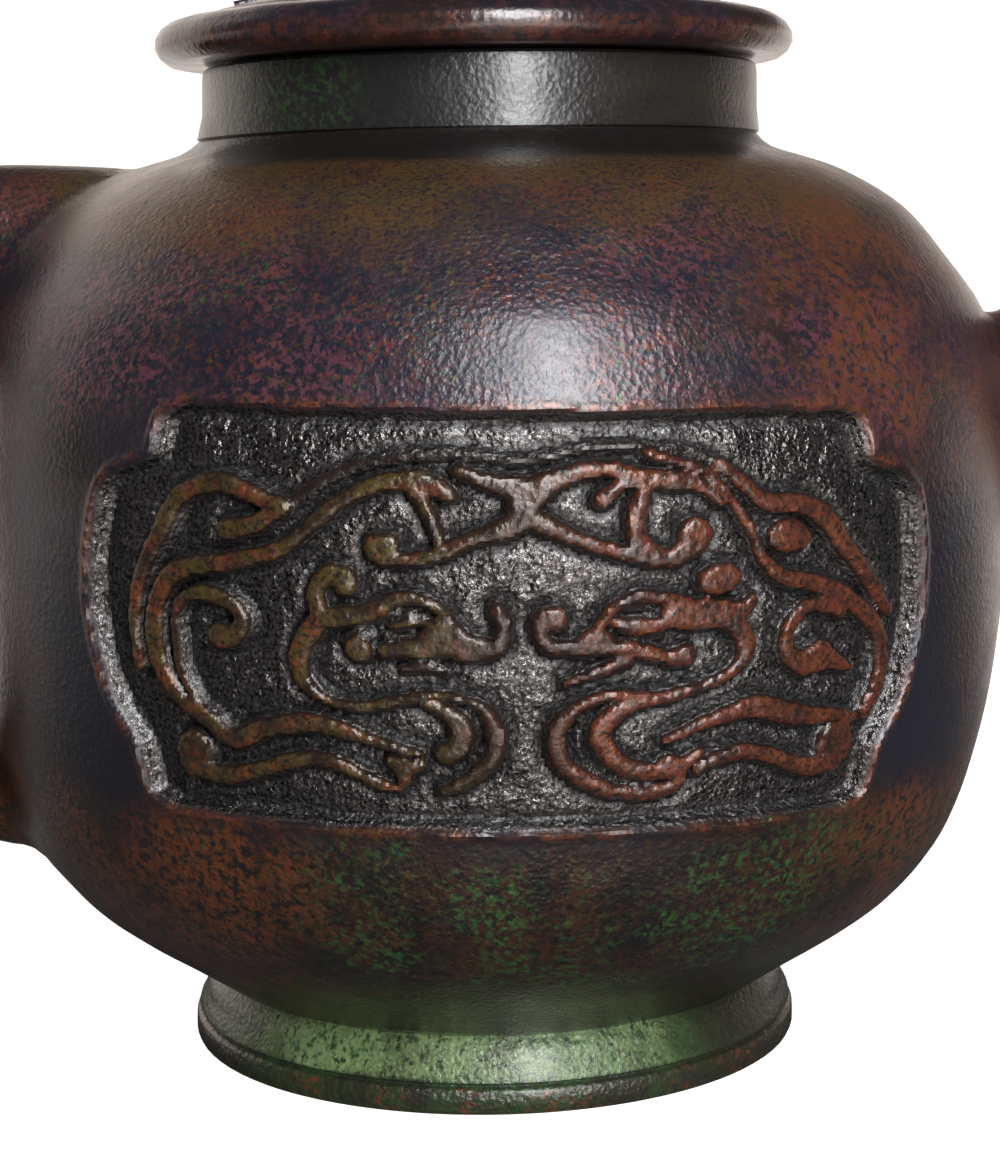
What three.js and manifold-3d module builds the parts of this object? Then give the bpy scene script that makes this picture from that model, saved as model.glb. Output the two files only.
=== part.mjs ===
// Bronze ewer with a loose lid, in millimetres, +Z up.
// The foot stands on z = 0 with the vessel's axis on the origin, the spout points to +X,
// the handle to -X, and the panel with the two dragons faces -Y.
import * as THREE from "three";
import { mergeVertices } from "three/addons/utils/BufferGeometryUtils.js";
import loadManifold from "manifold-3d";

// Driving dimensions of the vessel
const SEGMENTS = 32;
const HOLLOW_SEGMENTS = 24;
const LID_SEGMENTS = 26;
const WALL = 3.5;
const FOOT_RADIUS = 36.3;
const FOOT_BAND_HEIGHT = 3;
const FOOT_GROOVE = 0.6;
const FOOT_COVE = [[0.6, 2], [1.2, 3.6]];
const FOOT_INNER_RADIUS = 28.5;
const FOOT_RECESS = 4;
const FLOOR_TOP = 8.5;
const FLOOR_CORNER = 4;
const PASS = 1;
const FOOT_TOP_RADIUS = 33.6;
const FOOT_TOP = 8.2;
const BELLY_RADIUS = 61.5;
const BELLY_HEIGHT = 66;
const NECK_RADIUS = 32.2;
const NECK_BASE = 105.6;
const NECK_TOP = 114.3;
const BELLY_SAMPLES = 18;

// Belly outline between the foot and the neck, as radius and height
const BELLY = [
  [FOOT_TOP_RADIUS, FOOT_TOP],
  [39.6, 12.3],
  [45.1, 16],
  [49.9, 20],
  [54.3, 26],
  [57.3, 34],
  [59.8, 46],
  [BELLY_RADIUS, BELLY_HEIGHT],
  [60.4, 77],
  [57.6, 86],
  [53.6, 92],
  [48.8, 97.6],
  [42.2, 101.7],
  [35.4, 104.2],
  [NECK_RADIUS, NECK_BASE],
];

// Sunken panel: sizes along the unrolled belly and up it
const PANEL_CENTRE = 57.6;
const PANEL_HALF_HEIGHT = 20.8;
const PANEL_TOP_HALF_WIDTH = 38.8;
const PANEL_BOTTOM_HALF_WIDTH = 42.4;
const PANEL_END_HALF_WIDTH = 48.2;
const PANEL_NOTCH_TOP = 15.4;
const PANEL_NOTCH_BOTTOM = -14.4;
const PANEL_CORNER = 3.4;
const PANEL_CORNER_BOW = [0.2, 0.35];
const PANEL_NOTCH_FLARE = 0.6;
const PANEL_END_BOW = [[3.6, 2], [1.4, 6]];
const PANEL_CUT_INNER = 34;
const PANEL_CUT_OUTER = 104;
const PANEL_TILT = THREE.MathUtils.degToRad(-1.4);
const PANEL_DEPTH = 1.8;
const RELIEF_DEPTH = 0.35;
const RELIEF_ROOT = 2.4;
const RELIEF_SLOPE = 0.45;
const RELIEF_RISE = -0.4;
const STROKE_STEPS = 1.2;
const WELD = 0.002;

// Handle and spout: stations along the vertical mid-plane as
// x, z, full thickness in that plane, full width across it
const HANDLE = [
  [-37, 92, 22, 23],
  [-60, 92.4, 22.6, 19],
  [-76, 90.6, 17.8, 15.5],
  [-89, 82, 14, 13.5],
  [-95.6, 68, 12.4, 12.6],
  [-92.5, 52, 11.6, 12],
  [-82, 39.5, 11, 12],
  [-68, 32.2, 11, 13],
  [-50, 28.4, 13, 17],
];
const SPOUT = [
  [46, 68, 36, 29],
  [61, 70.5, 31, 24.5],
  [72, 76, 25, 21],
  [81.5, 85.5, 20.5, 18.5],
  [89, 96.5, 17.4, 16.6],
  [95, 109.4, 15.4, 15.4],
];
const SPOUT_WALL = 2.6;
const SPOUT_MOUTH_RUN = 4;
const LOFT_STEPS = 12;
const LOFT_SIDES = 12;

// Lid: flange, low dome, knob and the ring that keeps it on the neck
const LID_GAP = 0.3;
const LID_OFFSET = -0.6;
const LID_RADIUS = 37;
const LID_LIP = 2.35;
const LID_DOME_RADIUS = 31.4;
const LID_DOME_BASE = 119.3;
const LID_CROWN = 125;
const LID_WALL = 2.8;
const LID_RING_RADIUS = 27.6;
const LID_RING_WALL = 2.2;
const LID_RING_DEPTH = 4;
const KNOB_STEM_RADIUS = 4.6;
const KNOB_RADIUS = 8.4;
const KNOB_HEIGHT = 14;
const LIP_STEPS = 4;
const DOME_STEPS = 4;
const DOME_SWEEP = THREE.MathUtils.degToRad(82);
const HOLLOW_SHOULDER = { radius: 0.7, fall: 0.3 };
const HOLLOW_SPRING = 1.2;

// Knob outline as shares of its radius and height
const KNOB_OUTLINE = [
  [0.9, 0.38],
  [1, 0.55],
  [0.78, 0.78],
  [0.36, 0.95],
];
const KNOB_STEM_SHARE = 0.18;

// Raised strokes of the dragon that faces right: points along the unrolled belly and up it,
// with the width of the stroke at its start, middle and end
const LEFT_DRAGON = {
  crossing: { width: [2.4, 2, 1.4], path: [[1.8, 70.3], [-2, 71.6], [-5.5, 73]] },
  forepaw: {
    width: [2.2, 2, 2.6],
    path: [[1.9, 71], [-1.5, 67.8], [-8, 65.2], [-11.8, 64.3], [-14.7, 65.2], [-13.2, 66.7]],
  },
  curl_stem: { width: [1.6, 1.6, 1.6], path: [[-10.8, 71.8], [-8.8, 69.3], [-8, 65.3]] },
  body: {
    width: [1.6, 2.3, 2],
    path: [[-7, 72.9], [-12, 72.3], [-17, 70.4], [-25, 64.7], [-36.5, 62.6], [-39.2, 57],
      [-37.6, 50.6], [-30, 45.9]],
  },
  ridge: { width: [1.2, 1.3, 1.4], path: [[-0.5, 73.8], [-8, 74.9], [-17, 73.8], [-24.5, 69.8]] },
  mane: {
    width: [1.8, 2, 1.2],
    path: [[-23.4, 69.2], [-30.5, 72.2], [-36.2, 69], [-40.6, 61.5], [-41.9, 56], [-40.8, 51]],
  },
  drop: { width: [1.6, 2, 2.2], path: [[-24.4, 69.9], [-27.4, 67.8], [-30.2, 67.6]] },
  tail_curl: {
    width: [1.4, 1.6, 2.6],
    path: [[-36, 58], [-34, 60.6], [-29.6, 60.2], [-29, 57.2], [-32, 56]],
  },
  thigh: {
    width: [1.8, 2.2, 2.2],
    path: [[-31.2, 45.5], [-26, 47.5], [-20.5, 48.4], [-16, 46.7], [-11.3, 43]],
  },
  hind_leg: {
    width: [3.6, 2, 1.6],
    path: [[-36.4, 45.4], [-35.6, 42.9], [-32, 42.1], [-22.5, 44.8], [-18, 44.1], [-13.3, 41.8]],
  },
  neck: {
    width: [2.2, 1.9, 1.8],
    path: [[-18.6, 60.2], [-22.3, 55.5], [-19.8, 50.9], [-9, 51.2], [-4.6, 50.5], [-2.5, 47.3],
      [-4.3, 43.3], [-8.4, 41]],
  },
  claw: { width: [1.4, 1.7, 2.2], path: [[-11.5, 50], [-6.4, 49.3], [-5.6, 46.4], [-8.2, 44.9]] },
  crest: { width: [1.6, 1.9, 2.1], path: [[-20.7, 60.3], [-20.2, 63], [-17.4, 64], [-16.9, 62.6]] },
  brow: {
    width: [2, 1.7, 1.5],
    path: [[-21.6, 58.5], [-15, 59.7], [-11.4, 61.1], [-8.4, 59.9], [-5.6, 57]],
  },
  muzzle: {
    width: [1.4, 2.5, 1.7],
    path: [[-14, 55.9], [-8.6, 56.8], [-2.6, 56.4], [-1.3, 57.9], [-1.9, 59.8]],
  },
  jaw: { width: [0.7, 1.3, 0.5], path: [[-12.6, 54.1], [-9, 54.8], [-5.4, 53.9]] },
  cheek: { width: [2.2, 2.4, 2.2], path: [[-16.6, 56.3], [-15.8, 56.2]] },
  eye: { width: [0.6, 1.1, 0.6], path: [[-13.1, 58.3], [-11.2, 58.7], [-9.2, 58.6]] },
};

// Raised strokes of the dragon that faces left
const RIGHT_DRAGON = {
  crossing: {
    width: [2.4, 2, 1.8],
    path: [[-0.2, 70.1], [5.5, 73.1], [9.4, 72.7], [8.3, 70.3]],
  },
  forepaw: {
    width: [2.2, 2.2, 3],
    path: [[-0.4, 71.2], [3, 67.7], [12.5, 64.4], [16, 64.3], [18.5, 65.9], [16.9, 66.9]],
  },
  curl_stem: { width: [1.8, 1.8, 1.8], path: [[12, 71], [11, 68.2], [13.3, 64.6]] },
  shoulder: { width: [2, 2, 1.2], path: [[10, 72.2], [13.5, 71.2], [17.5, 71.4], [20.4, 69.4]] },
  body: {
    width: [1, 2, 2.4],
    path: [[12, 74.6], [19, 72.6], [23, 66.8], [26, 62.9], [35, 59.8], [41.4, 54.4], [40.6, 46.6]],
  },
  ridge: { width: [1.2, 1.3, 1.6], path: [[1, 73.6], [8, 75], [16, 74.6], [21.5, 72.2]] },
  mane: {
    width: [1.6, 2.4, 1.2],
    path: [[20.6, 72.9], [25, 69.6], [32.5, 67.8], [36.5, 63.8], [42, 57.6]],
  },
  drop: { width: [2.4, 3, 2.4], path: [[26.9, 65.4], [30.5, 65.3]] },
  tail_curl: {
    width: [1.4, 1.7, 3],
    path: [[34.8, 57.2], [30.8, 57.9], [28.6, 55], [30.4, 52.3], [33.8, 52.6]],
  },
  thigh: {
    width: [1, 2.4, 1.6],
    path: [[14.2, 45.6], [18.5, 47], [23.3, 48.5], [28.5, 47.9], [37, 46.2]],
  },
  hind_leg: {
    width: [1.6, 2, 3.8],
    path: [[19.2, 42.6], [24, 44.4], [30, 43.3], [34.5, 41.8], [37.4, 43], [36, 44.6]],
  },
  neck: {
    width: [2.2, 1.8, 1.6],
    path: [[20.8, 58.9], [24.2, 55.4], [21, 51.4], [15, 50.4], [9.6, 48.9], [8.2, 45.8],
      [13, 42.5], [18.8, 44.1]],
  },
  claw: {
    width: [1.4, 1.9, 1.8],
    path: [[10.5, 50.4], [5.4, 49.6], [4, 46], [8.5, 41.2], [16.3, 41.2]],
  },
  crest: { width: [2.4, 3.2, 2.4], path: [[19.2, 62.3], [21.8, 62.1]] },
  brow: {
    width: [2.2, 1.8, 1.8],
    path: [[24.3, 59.2], [16, 59.9], [12, 60.9], [8.8, 59.5], [5.4, 56.6], [2.6, 56.9], [1.9, 58.5],
      [3.3, 59.4]],
  },
  nape: { width: [1, 2.6, 2.2], path: [[15, 58.5], [19, 58.3], [23.5, 57.6]] },
  muzzle: { width: [1.2, 1.8, 1.6], path: [[3.5, 55.9], [9, 55.9], [14.2, 55.2]] },
  jaw: { width: [1.8, 1.4, 0.6], path: [[11, 54.3], [8, 53.8], [5, 52.8]] },
  cheek: { width: [1.9, 2.3, 1.9], path: [[15.7, 54.8], [17.1, 54.9]] },
  eye: { width: [0.7, 1.7, 0.9], path: [[9.3, 58.2], [11.8, 57.9], [14.4, 58.2]] },
};

// The back panel is plainer: only the broad bands of one dragon, and their mirror image
const BACK_STROKES = ["body", "neck", "thigh"];

const BRONZE = { color: 0x3a2a22, metalness: 0.85, roughness: 0.45 };
const LID_BRONZE = { color: 0x33241f, metalness: 0.85, roughness: 0.42 };

const wasm = await loadManifold();
wasm.setup();

// A closed solid from a geometry: shared corners are merged and collapsed triangles dropped
function solidFrom(geometry) {
  const bare = new THREE.BufferGeometry();
  bare.setAttribute("position", geometry.getAttribute("position"));
  bare.setIndex(geometry.getIndex());
  const merged = mergeVertices(bare, 1e-4);
  const index = merged.getIndex().array;
  const kept = [];
  for (let i = 0; i < index.length; i += 3) {
    const [a, b, c] = index.slice(i, i + 3);
    if (a !== b && b !== c && c !== a) kept.push(a, b, c);
  }
  const mesh = new wasm.Mesh({
    numProp: 3,
    vertProperties: new Float32Array(merged.getAttribute("position").array),
    triVerts: new Uint32Array(kept),
  });
  mesh.merge();
  return new wasm.Manifold(mesh);
}

// A geometry from a solid, with corners that all but touch drawn together
function geometryFrom(solid) {
  const mesh = solid.getMesh();
  const snapped = mesh.vertProperties.map((value) => Math.round(value / WELD) * WELD);
  const geometry = new THREE.BufferGeometry();
  geometry.setAttribute("position", new THREE.BufferAttribute(snapped, mesh.numProp));
  geometry.setIndex(new THREE.BufferAttribute(mesh.triVerts, 1));
  const clean = solidFrom(geometry).getMesh();
  geometry.setAttribute("position", new THREE.BufferAttribute(clean.vertProperties, clean.numProp));
  geometry.setIndex(new THREE.BufferAttribute(clean.triVerts, 1));
  geometry.computeVertexNormals();
  return geometry;
}

// A solid turned about +Z from a profile of radius and height that starts and ends on the axis
function turned(profile, segments = SEGMENTS) {
  const points = profile.map(([radius, height]) => new THREE.Vector2(radius, height));
  const geometry = new THREE.LatheGeometry(points, segments);
  geometry.rotateX(Math.PI / 2);
  return solidFrom(geometry);
}

// Belly outline, sampled evenly from the foot to the neck
const bellyCurve = new THREE.SplineCurve(BELLY.map(([radius, height]) => new THREE.Vector2(radius, height)));
const bellyPoints = bellyCurve.getSpacedPoints(BELLY_SAMPLES);

function bellyRadius(height) {
  const next = bellyPoints.findIndex((point) => point.y >= height);
  const upper = bellyPoints[Math.max(next, 1)];
  const lower = bellyPoints[Math.max(next, 1) - 1];
  return THREE.MathUtils.mapLinear(height, lower.y, upper.y, lower.x, upper.x);
}

// Belly outline moved inwards by a depth, square to itself, with half as many points
function insetBelly(depth) {
  const inset = [];
  for (let i = 0; i <= BELLY_SAMPLES; i += 2) {
    const point = bellyPoints[i];
    const tangent = bellyCurve.getTangentAt(i / BELLY_SAMPLES);
    inset.push([point.x - depth * tangent.y, point.y + depth * tangent.x]);
  }
  return inset;
}

// Outer form of the vessel without its hollow: foot, belly and neck
function outerForm() {
  const groove = FOOT_RADIUS - FOOT_GROOVE;
  return turned([
    [0, 0],
    [FOOT_RADIUS, 0],
    [FOOT_RADIUS, FOOT_BAND_HEIGHT],
    [groove, FOOT_BAND_HEIGHT + FOOT_GROOVE],
    ...FOOT_COVE.map(([inwards, above]) => [groove - inwards, FOOT_BAND_HEIGHT + above]),
    ...bellyPoints.map((point) => [point.x, point.y]),
    [NECK_RADIUS, NECK_TOP],
    [0, NECK_TOP],
  ]);
}

// The empty space inside, from the floor up through the neck
function hollow() {
  const neckHole = NECK_RADIUS - WALL;
  const clear = ([radius, height]) => height > FLOOR_TOP + PASS && radius > neckHole;
  const inside = insetBelly(WALL).filter(clear);
  return turned([
    [0, FLOOR_TOP],
    [inside[0][0] - FLOOR_CORNER, FLOOR_TOP],
    ...inside,
    [neckHole, NECK_BASE],
    [neckHole, NECK_TOP + PASS],
    [0, NECK_TOP + PASS],
  ], HOLLOW_SEGMENTS);
}

function footRecess() {
  return turned([
    [0, -PASS],
    [FOOT_INNER_RADIUS, -PASS],
    [FOOT_INNER_RADIUS, FOOT_RECESS],
    [0, FOOT_RECESS],
  ]);
}

// Joins rings of equal length into one closed geometry, with a fan over each end
function skin(rings) {
  const sides = rings[0].length;
  const vertices = rings.flat();
  const triangles = [];
  for (let i = 0; i + 1 < rings.length; i += 1) {
    for (let j = 0; j < sides; j += 1) {
      const a = i * sides + j;
      const b = i * sides + ((j + 1) % sides);
      triangles.push(a, b, b + sides, a, b + sides, a + sides);
    }
  }
  const last = (rings.length - 1) * sides;
  for (let j = 1; j + 1 < sides; j += 1) {
    triangles.push(0, j + 1, j);
    triangles.push(last, last + j, last + j + 1);
  }
  const geometry = new THREE.BufferGeometry().setFromPoints(vertices);
  geometry.setIndex(triangles);
  return geometry;
}

// Smooth rise through a short list of numbers
function along(values, t) {
  const curve = new THREE.SplineCurve(values.map((value, i) => new THREE.Vector2(i, value)));
  return curve.getPoint(t).y;
}

// A rounded arm in the vertical mid-plane, thinned by a margin on every side
function arm(stations, margin = 0, runOut = 0) {
  const path = new THREE.SplineCurve(stations.map(([x, z]) => new THREE.Vector2(x, z)));
  const thick = stations.map((station) => station[2]);
  const wide = stations.map((station) => station[3]);
  const rings = [];
  const ringAt = (centre, tangent, t) => {
    const ring = [];
    for (let j = 0; j < LOFT_SIDES; j += 1) {
      const angle = -(j / LOFT_SIDES) * 2 * Math.PI;
      const up = Math.cos(angle) * (along(thick, t) / 2 - margin);
      const out = Math.sin(angle) * (along(wide, t) / 2 - margin);
      ring.push(new THREE.Vector3(centre.x - tangent.y * up, out, centre.y + tangent.x * up));
    }
    rings.push(ring);
  };
  for (let i = 0; i <= LOFT_STEPS; i += 1) {
    const t = i / LOFT_STEPS;
    ringAt(path.getPoint(t), path.getTangent(t), t);
  }
  if (runOut > 0) {
    const tangent = path.getTangent(1);
    ringAt(path.getPoint(1).addScaledVector(tangent, runOut), tangent, 1);
  }
  return solidFrom(skin(rings));
}

// A place on the belly: across the panel, up the axis, below the surface; turn 0 is the front
function onBelly(across, height, below, turn) {
  const angle = across / BELLY_RADIUS + turn;
  const radius = bellyRadius(height) - below;
  return new THREE.Vector3(radius * Math.sin(angle), -radius * Math.cos(angle), height);
}

// Outline of the sunken panel: a long field with stepped-in corners and bowed ends
function panelOutline() {
  const shape = new THREE.Shape();
  const top = PANEL_HALF_HEIGHT;
  const corner = PANEL_CORNER;
  const [bowAcross, bowUp] = PANEL_CORNER_BOW;
  const quarter = (vertical, half, notch) => [
    [half - corner, vertical * top],
    [half - corner * bowAcross, vertical * (top - corner * bowUp)],
    [half, vertical * (top - corner)],
    [half + PANEL_NOTCH_FLARE, notch],
    ...PANEL_END_BOW.map(([inwards, past]) => [PANEL_END_HALF_WIDTH - inwards, notch - vertical * past]),
  ];
  const right = [
    ...quarter(-1, PANEL_BOTTOM_HALF_WIDTH, PANEL_NOTCH_BOTTOM),
    [PANEL_END_HALF_WIDTH, 0],
    ...quarter(1, PANEL_TOP_HALF_WIDTH, PANEL_NOTCH_TOP).reverse(),
  ];
  const left = right.map(([across, up]) => [-across, up]).reverse();
  shape.setFromPoints([...right, ...left].map(([across, up]) => new THREE.Vector2(across, up)));
  return shape.getPoints().map((point) => point.rotateAround(new THREE.Vector2(), PANEL_TILT));
}

// The metal taken out for a panel: a radial wedge outside the inset belly
function panelCut(turn, insetSolid) {
  const outline = panelOutline();
  const ring = (radius) =>
    outline.map((point) => {
      const angle = point.x / BELLY_RADIUS + turn;
      return new THREE.Vector3(radius * Math.sin(angle), -radius * Math.cos(angle), point.y + PANEL_CENTRE);
    });
  const inner = ring(PANEL_CUT_INNER);
  const outer = ring(PANEL_CUT_OUTER);
  const count = outline.length;
  const triangles = [];
  for (let i = 0; i < count; i += 1) {
    const next = (i + 1) % count;
    triangles.push(i, next, next + count, i, next + count, i + count);
  }
  for (const [a, b, c] of THREE.ShapeUtils.triangulateShape(outline, [])) {
    triangles.push(a, c, b);
    triangles.push(a + count, b + count, c + count);
  }
  const geometry = new THREE.BufferGeometry().setFromPoints([...inner, ...outer]);
  geometry.setIndex(triangles);
  return solidFrom(geometry).subtract(insetSolid);
}

// One raised stroke: a flat-topped band with sloping sides that follows the belly
function stroke({ path, width }, turn, mirror) {
  const drawn = path.map(([across, height]) => new THREE.Vector2(mirror * across, height + RELIEF_RISE));
  const curve = new THREE.SplineCurve(drawn);
  const steps = Math.ceil(STROKE_STEPS * (path.length - 1));
  const rings = [];
  for (let i = 0; i <= steps; i += 1) {
    const t = i / steps;
    const centre = curve.getPoint(t);
    const tangent = curve.getTangent(t);
    const half = along(width, t) / 2;
    const edge = (side, below) => {
      const across = centre.x - tangent.y * side;
      const height = centre.y + tangent.x * side;
      return onBelly(across, height, below, turn);
    };
    rings.push([
      edge(-half - RELIEF_SLOPE, RELIEF_ROOT),
      edge(half + RELIEF_SLOPE, RELIEF_ROOT),
      edge(half, RELIEF_DEPTH),
      edge(-half, RELIEF_DEPTH),
    ]);
  }
  return solidFrom(skin(rings));
}

function ewerBody() {
  const front = 0;
  const back = Math.PI;
  const belowPanels = turned([
    [0, FOOT_TOP],
    ...insetBelly(PANEL_DEPTH),
    [0, NECK_BASE],
  ]);
  let body = outerForm().add(arm(HANDLE)).add(arm(SPOUT));
  body = body.subtract(hollow()).subtract(footRecess()).subtract(arm(SPOUT, SPOUT_WALL, SPOUT_MOUTH_RUN));
  body = body.subtract(panelCut(front, belowPanels)).subtract(panelCut(back, belowPanels));
  for (const dragon of [LEFT_DRAGON, RIGHT_DRAGON]) {
    for (const band of Object.values(dragon)) body = body.add(stroke(band, front, 1));
  }
  for (const name of BACK_STROKES) {
    for (const mirror of [1, -1]) body = body.add(stroke(LEFT_DRAGON[name], back, mirror));
  }
  return geometryFrom(body);
}

// Profile of the lid, from the crown of its hollow round the flange and up over the knob
function lidProfile() {
  const underside = NECK_TOP + LID_GAP;
  const lipCentre = LID_RADIUS - LID_LIP;
  const lip = [];
  for (let i = 0; i <= LIP_STEPS; i += 1) {
    const angle = (i / LIP_STEPS - 0.5) * Math.PI;
    lip.push([lipCentre + LID_LIP * Math.cos(angle), underside + LID_LIP * (1 + Math.sin(angle))]);
  }
  const domeRise = LID_CROWN - LID_DOME_BASE;
  const dome = [];
  for (let i = 0; i < DOME_STEPS; i += 1) {
    const angle = (i / DOME_STEPS) * DOME_SWEEP;
    dome.push([LID_DOME_RADIUS * Math.cos(angle), LID_DOME_BASE + domeRise * Math.sin(angle)]);
  }
  const knob = [
    [KNOB_STEM_RADIUS, LID_CROWN],
    [KNOB_STEM_RADIUS, LID_CROWN + KNOB_HEIGHT * KNOB_STEM_SHARE],
    ...KNOB_OUTLINE.map(([out, up]) => [KNOB_RADIUS * out, LID_CROWN + KNOB_HEIGHT * up]),
    [0, LID_CROWN + KNOB_HEIGHT],
  ];
  const ringInside = LID_RING_RADIUS - LID_RING_WALL;
  return [
    [0, LID_CROWN - LID_WALL],
    [ringInside * HOLLOW_SHOULDER.radius, LID_CROWN - LID_WALL - domeRise * HOLLOW_SHOULDER.fall],
    [ringInside, underside + HOLLOW_SPRING],
    [ringInside, underside - LID_RING_DEPTH],
    [LID_RING_RADIUS, underside - LID_RING_DEPTH],
    [LID_RING_RADIUS, underside],
    ...lip,
    ...dome,
    ...knob,
  ];
}

function lidSolid() {
  return geometryFrom(turned(lidProfile(), LID_SEGMENTS));
}

function piece(name, geometry, finish) {
  const mesh = new THREE.Mesh(geometry, new THREE.MeshStandardMaterial(finish));
  mesh.name = name;
  return mesh;
}

const ewer = new THREE.Group();
ewer.add(piece("ewer_body", ewerBody(), BRONZE));
const lid = piece("lid", lidSolid(), LID_BRONZE);
lid.position.x = LID_OFFSET;
ewer.add(lid);

export default ewer;
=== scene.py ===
"""Bronze ewer with a loose lid: surfaces, patina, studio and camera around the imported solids."""
import math
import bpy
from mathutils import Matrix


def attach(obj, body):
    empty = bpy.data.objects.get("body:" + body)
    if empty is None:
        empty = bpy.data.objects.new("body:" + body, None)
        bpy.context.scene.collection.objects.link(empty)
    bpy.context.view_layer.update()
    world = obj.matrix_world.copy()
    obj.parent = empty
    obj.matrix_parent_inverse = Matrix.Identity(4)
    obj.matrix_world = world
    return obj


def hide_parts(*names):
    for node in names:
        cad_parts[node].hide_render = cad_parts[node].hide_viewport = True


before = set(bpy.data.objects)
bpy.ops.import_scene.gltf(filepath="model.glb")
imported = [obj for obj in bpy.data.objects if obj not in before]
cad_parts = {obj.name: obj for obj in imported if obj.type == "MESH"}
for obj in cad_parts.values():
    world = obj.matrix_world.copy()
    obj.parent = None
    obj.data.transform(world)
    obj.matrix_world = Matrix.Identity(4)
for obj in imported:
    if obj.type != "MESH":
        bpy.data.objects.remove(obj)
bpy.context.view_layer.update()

from types import SimpleNamespace

import bmesh
import bpy
import numpy as np
from mathutils import Matrix, Vector, noise

bl_info = {
    "name": "Bronze Ewer",
    "version": (1, 0, 0),
    "blender": (4, 5, 0),
    "location": "View3D > Sidebar > Ewer",
    "description": "Builds a cast bronze ewer with dragon panels, its lid and a small studio",
    "category": "Add Mesh",
}

MM = 0.001
CRISP_ANGLE = math.radians(38.0)
COLOUR_NAMES = (
    "umber", "navy", "crimson", "rust", "ochre", "terracotta",
    "verdigris", "leaf", "olive", "slate", "steel", "soot_and_shade",
)
# The crease mask also places painted shade: dark lines round the bands and at the foot of the border wall
PANEL_MASKS = ("raised", "sunk", "rim", "crease")
PATCHES = "Patina patches"
ZONE = "Ragged zone"
GRAIN = "Cast grain"
PIECE_BODY = "bronze_ewer"
PIECE_LID = "bronze_lid"
NODE_BODY = "ewer_body"
NODE_LID = "lid"

# Outline of the vessel as radius and height in millimetres, from the foot up to the neck
FOOT_OUTLINE = [
    (35.7, 0.0), (36.1, 0.15), (36.3, 0.6), (36.3, 1.6), (36.25, 2.6), (36.0, 2.95),
    (35.6, 3.1), (35.6, 3.4), (35.9, 3.6), (35.75, 4.2), (35.3, 5.0), (34.9, 5.9), (34.6, 6.9),
    (34.0, 7.6),
]
BELLY_OUTLINE = [
    (33.6, 8.2), (39.6, 12.3), (45.1, 16.0), (49.9, 20.0), (54.3, 26.0), (57.3, 34.0), (59.8, 46.0),
    (61.5, 66.0), (60.4, 77.0), (57.6, 86.0), (53.6, 92.0), (48.8, 97.6), (42.2, 101.7), (36.6, 103.7),
]
NECK_OUTLINE = [
    (35.2, 104.1), (33.9, 104.6), (32.9, 105.3), (32.3, 106.0), (32.15, 106.2), (32.45, 106.35),
    (32.4, 107.2), (32.2, 109.0), (32.2, 113.2), (32.1, 113.9), (31.7, 114.25),
]

# Wall, hollow and floor of the vessel, in millimetres
BELLY_RADIUS = 61.5
NECK_TOP = 114.3
WALL = 3.5
FLOOR_TOP = 8.5
FOOT_RECESS = 4.0
FOOT_INNER_RADIUS = 28.5
FLOOR_HUB = 6.0
FLOOR_CORNER = 4.0
MOUTH_LOW = 104.0
MOUTH_FLARE = 0.6
TURNED_SIDES = 128

# Recess under the foot: how far inside its rim, and height
RECESS_EDGE = [(-0.6, -1.0), (0.0, 0.5), (0.4, FOOT_RECESS - 0.6), (1.2, FOOT_RECESS)]

# Sunken panel on the unrolled belly, in millimetres
PANEL_CENTRE = 57.6
PANEL_HALF_HEIGHT = 20.8
PANEL_TOP_HALF_WIDTH = 38.8
PANEL_BOTTOM_HALF_WIDTH = 42.4
PANEL_END_HALF_WIDTH = 48.2
PANEL_NOTCH_TOP = 15.4
PANEL_NOTCH_BOTTOM = -14.4
PANEL_CORNER = 3.4
PANEL_CORNER_BOW = (0.2, 0.35)
PANEL_NOTCH_FLARE = 0.6
PANEL_END_BOW = ((3.6, 2.0), (1.4, 6.0))
PANEL_TILT = math.radians(-1.4)
PANEL_REACH = 52.0
PANEL_LOW = 34.0
PANEL_HIGH = 81.5
BAND_RISE = -0.4
BAND_STEPS = 7
BAND_MARGIN = 4.0
COARSE = 3
FAR = 1e9

# Unevenness of the casting: depth and size of its lumps, in millimetres, and a seed for each place
BORDER_WANDER = [(0.25, 3.0)]
BORDER_SEED = 3.7
BAND_WANDER = [(0.14, 1.6), (0.16, 0.8)]
BAND_SEED = 11.3
GROUND_LUMPS = [(1.0, 1.5), (1.5, 5.0)]
TOP_LUMPS = [(0.13, 0.9)]
GROUND_SEED = 23.9

# Edges of the relief, in millimetres
BORDER_LIP = 0.2
RIM_PLACE = 0.4
RIM_SPREAD = 0.42
RIM_RISE = 0.22
CREASE_SPREAD = 0.45
CROWN_RUN = 6.0

# Edges of the relief, as shares of a slope, of a band's height or of the ground's lumps
BAND_SIDE = (-0.2, 0.8)
# BAND_CREASE and BORDER_CREASE place real grooves, which the patina also darkens as painted shade lines
BAND_CREASE = 0.95
BAND_FOOT = (0.25, 0.6)
BORDER_CREASE = 1.15
BORDER_CREASE_SHARE = 0.8
CROWN_RISE = 0.1
GROUND_UNDER_BAND = 0.7
BAND_FULL = 1.5

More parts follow.
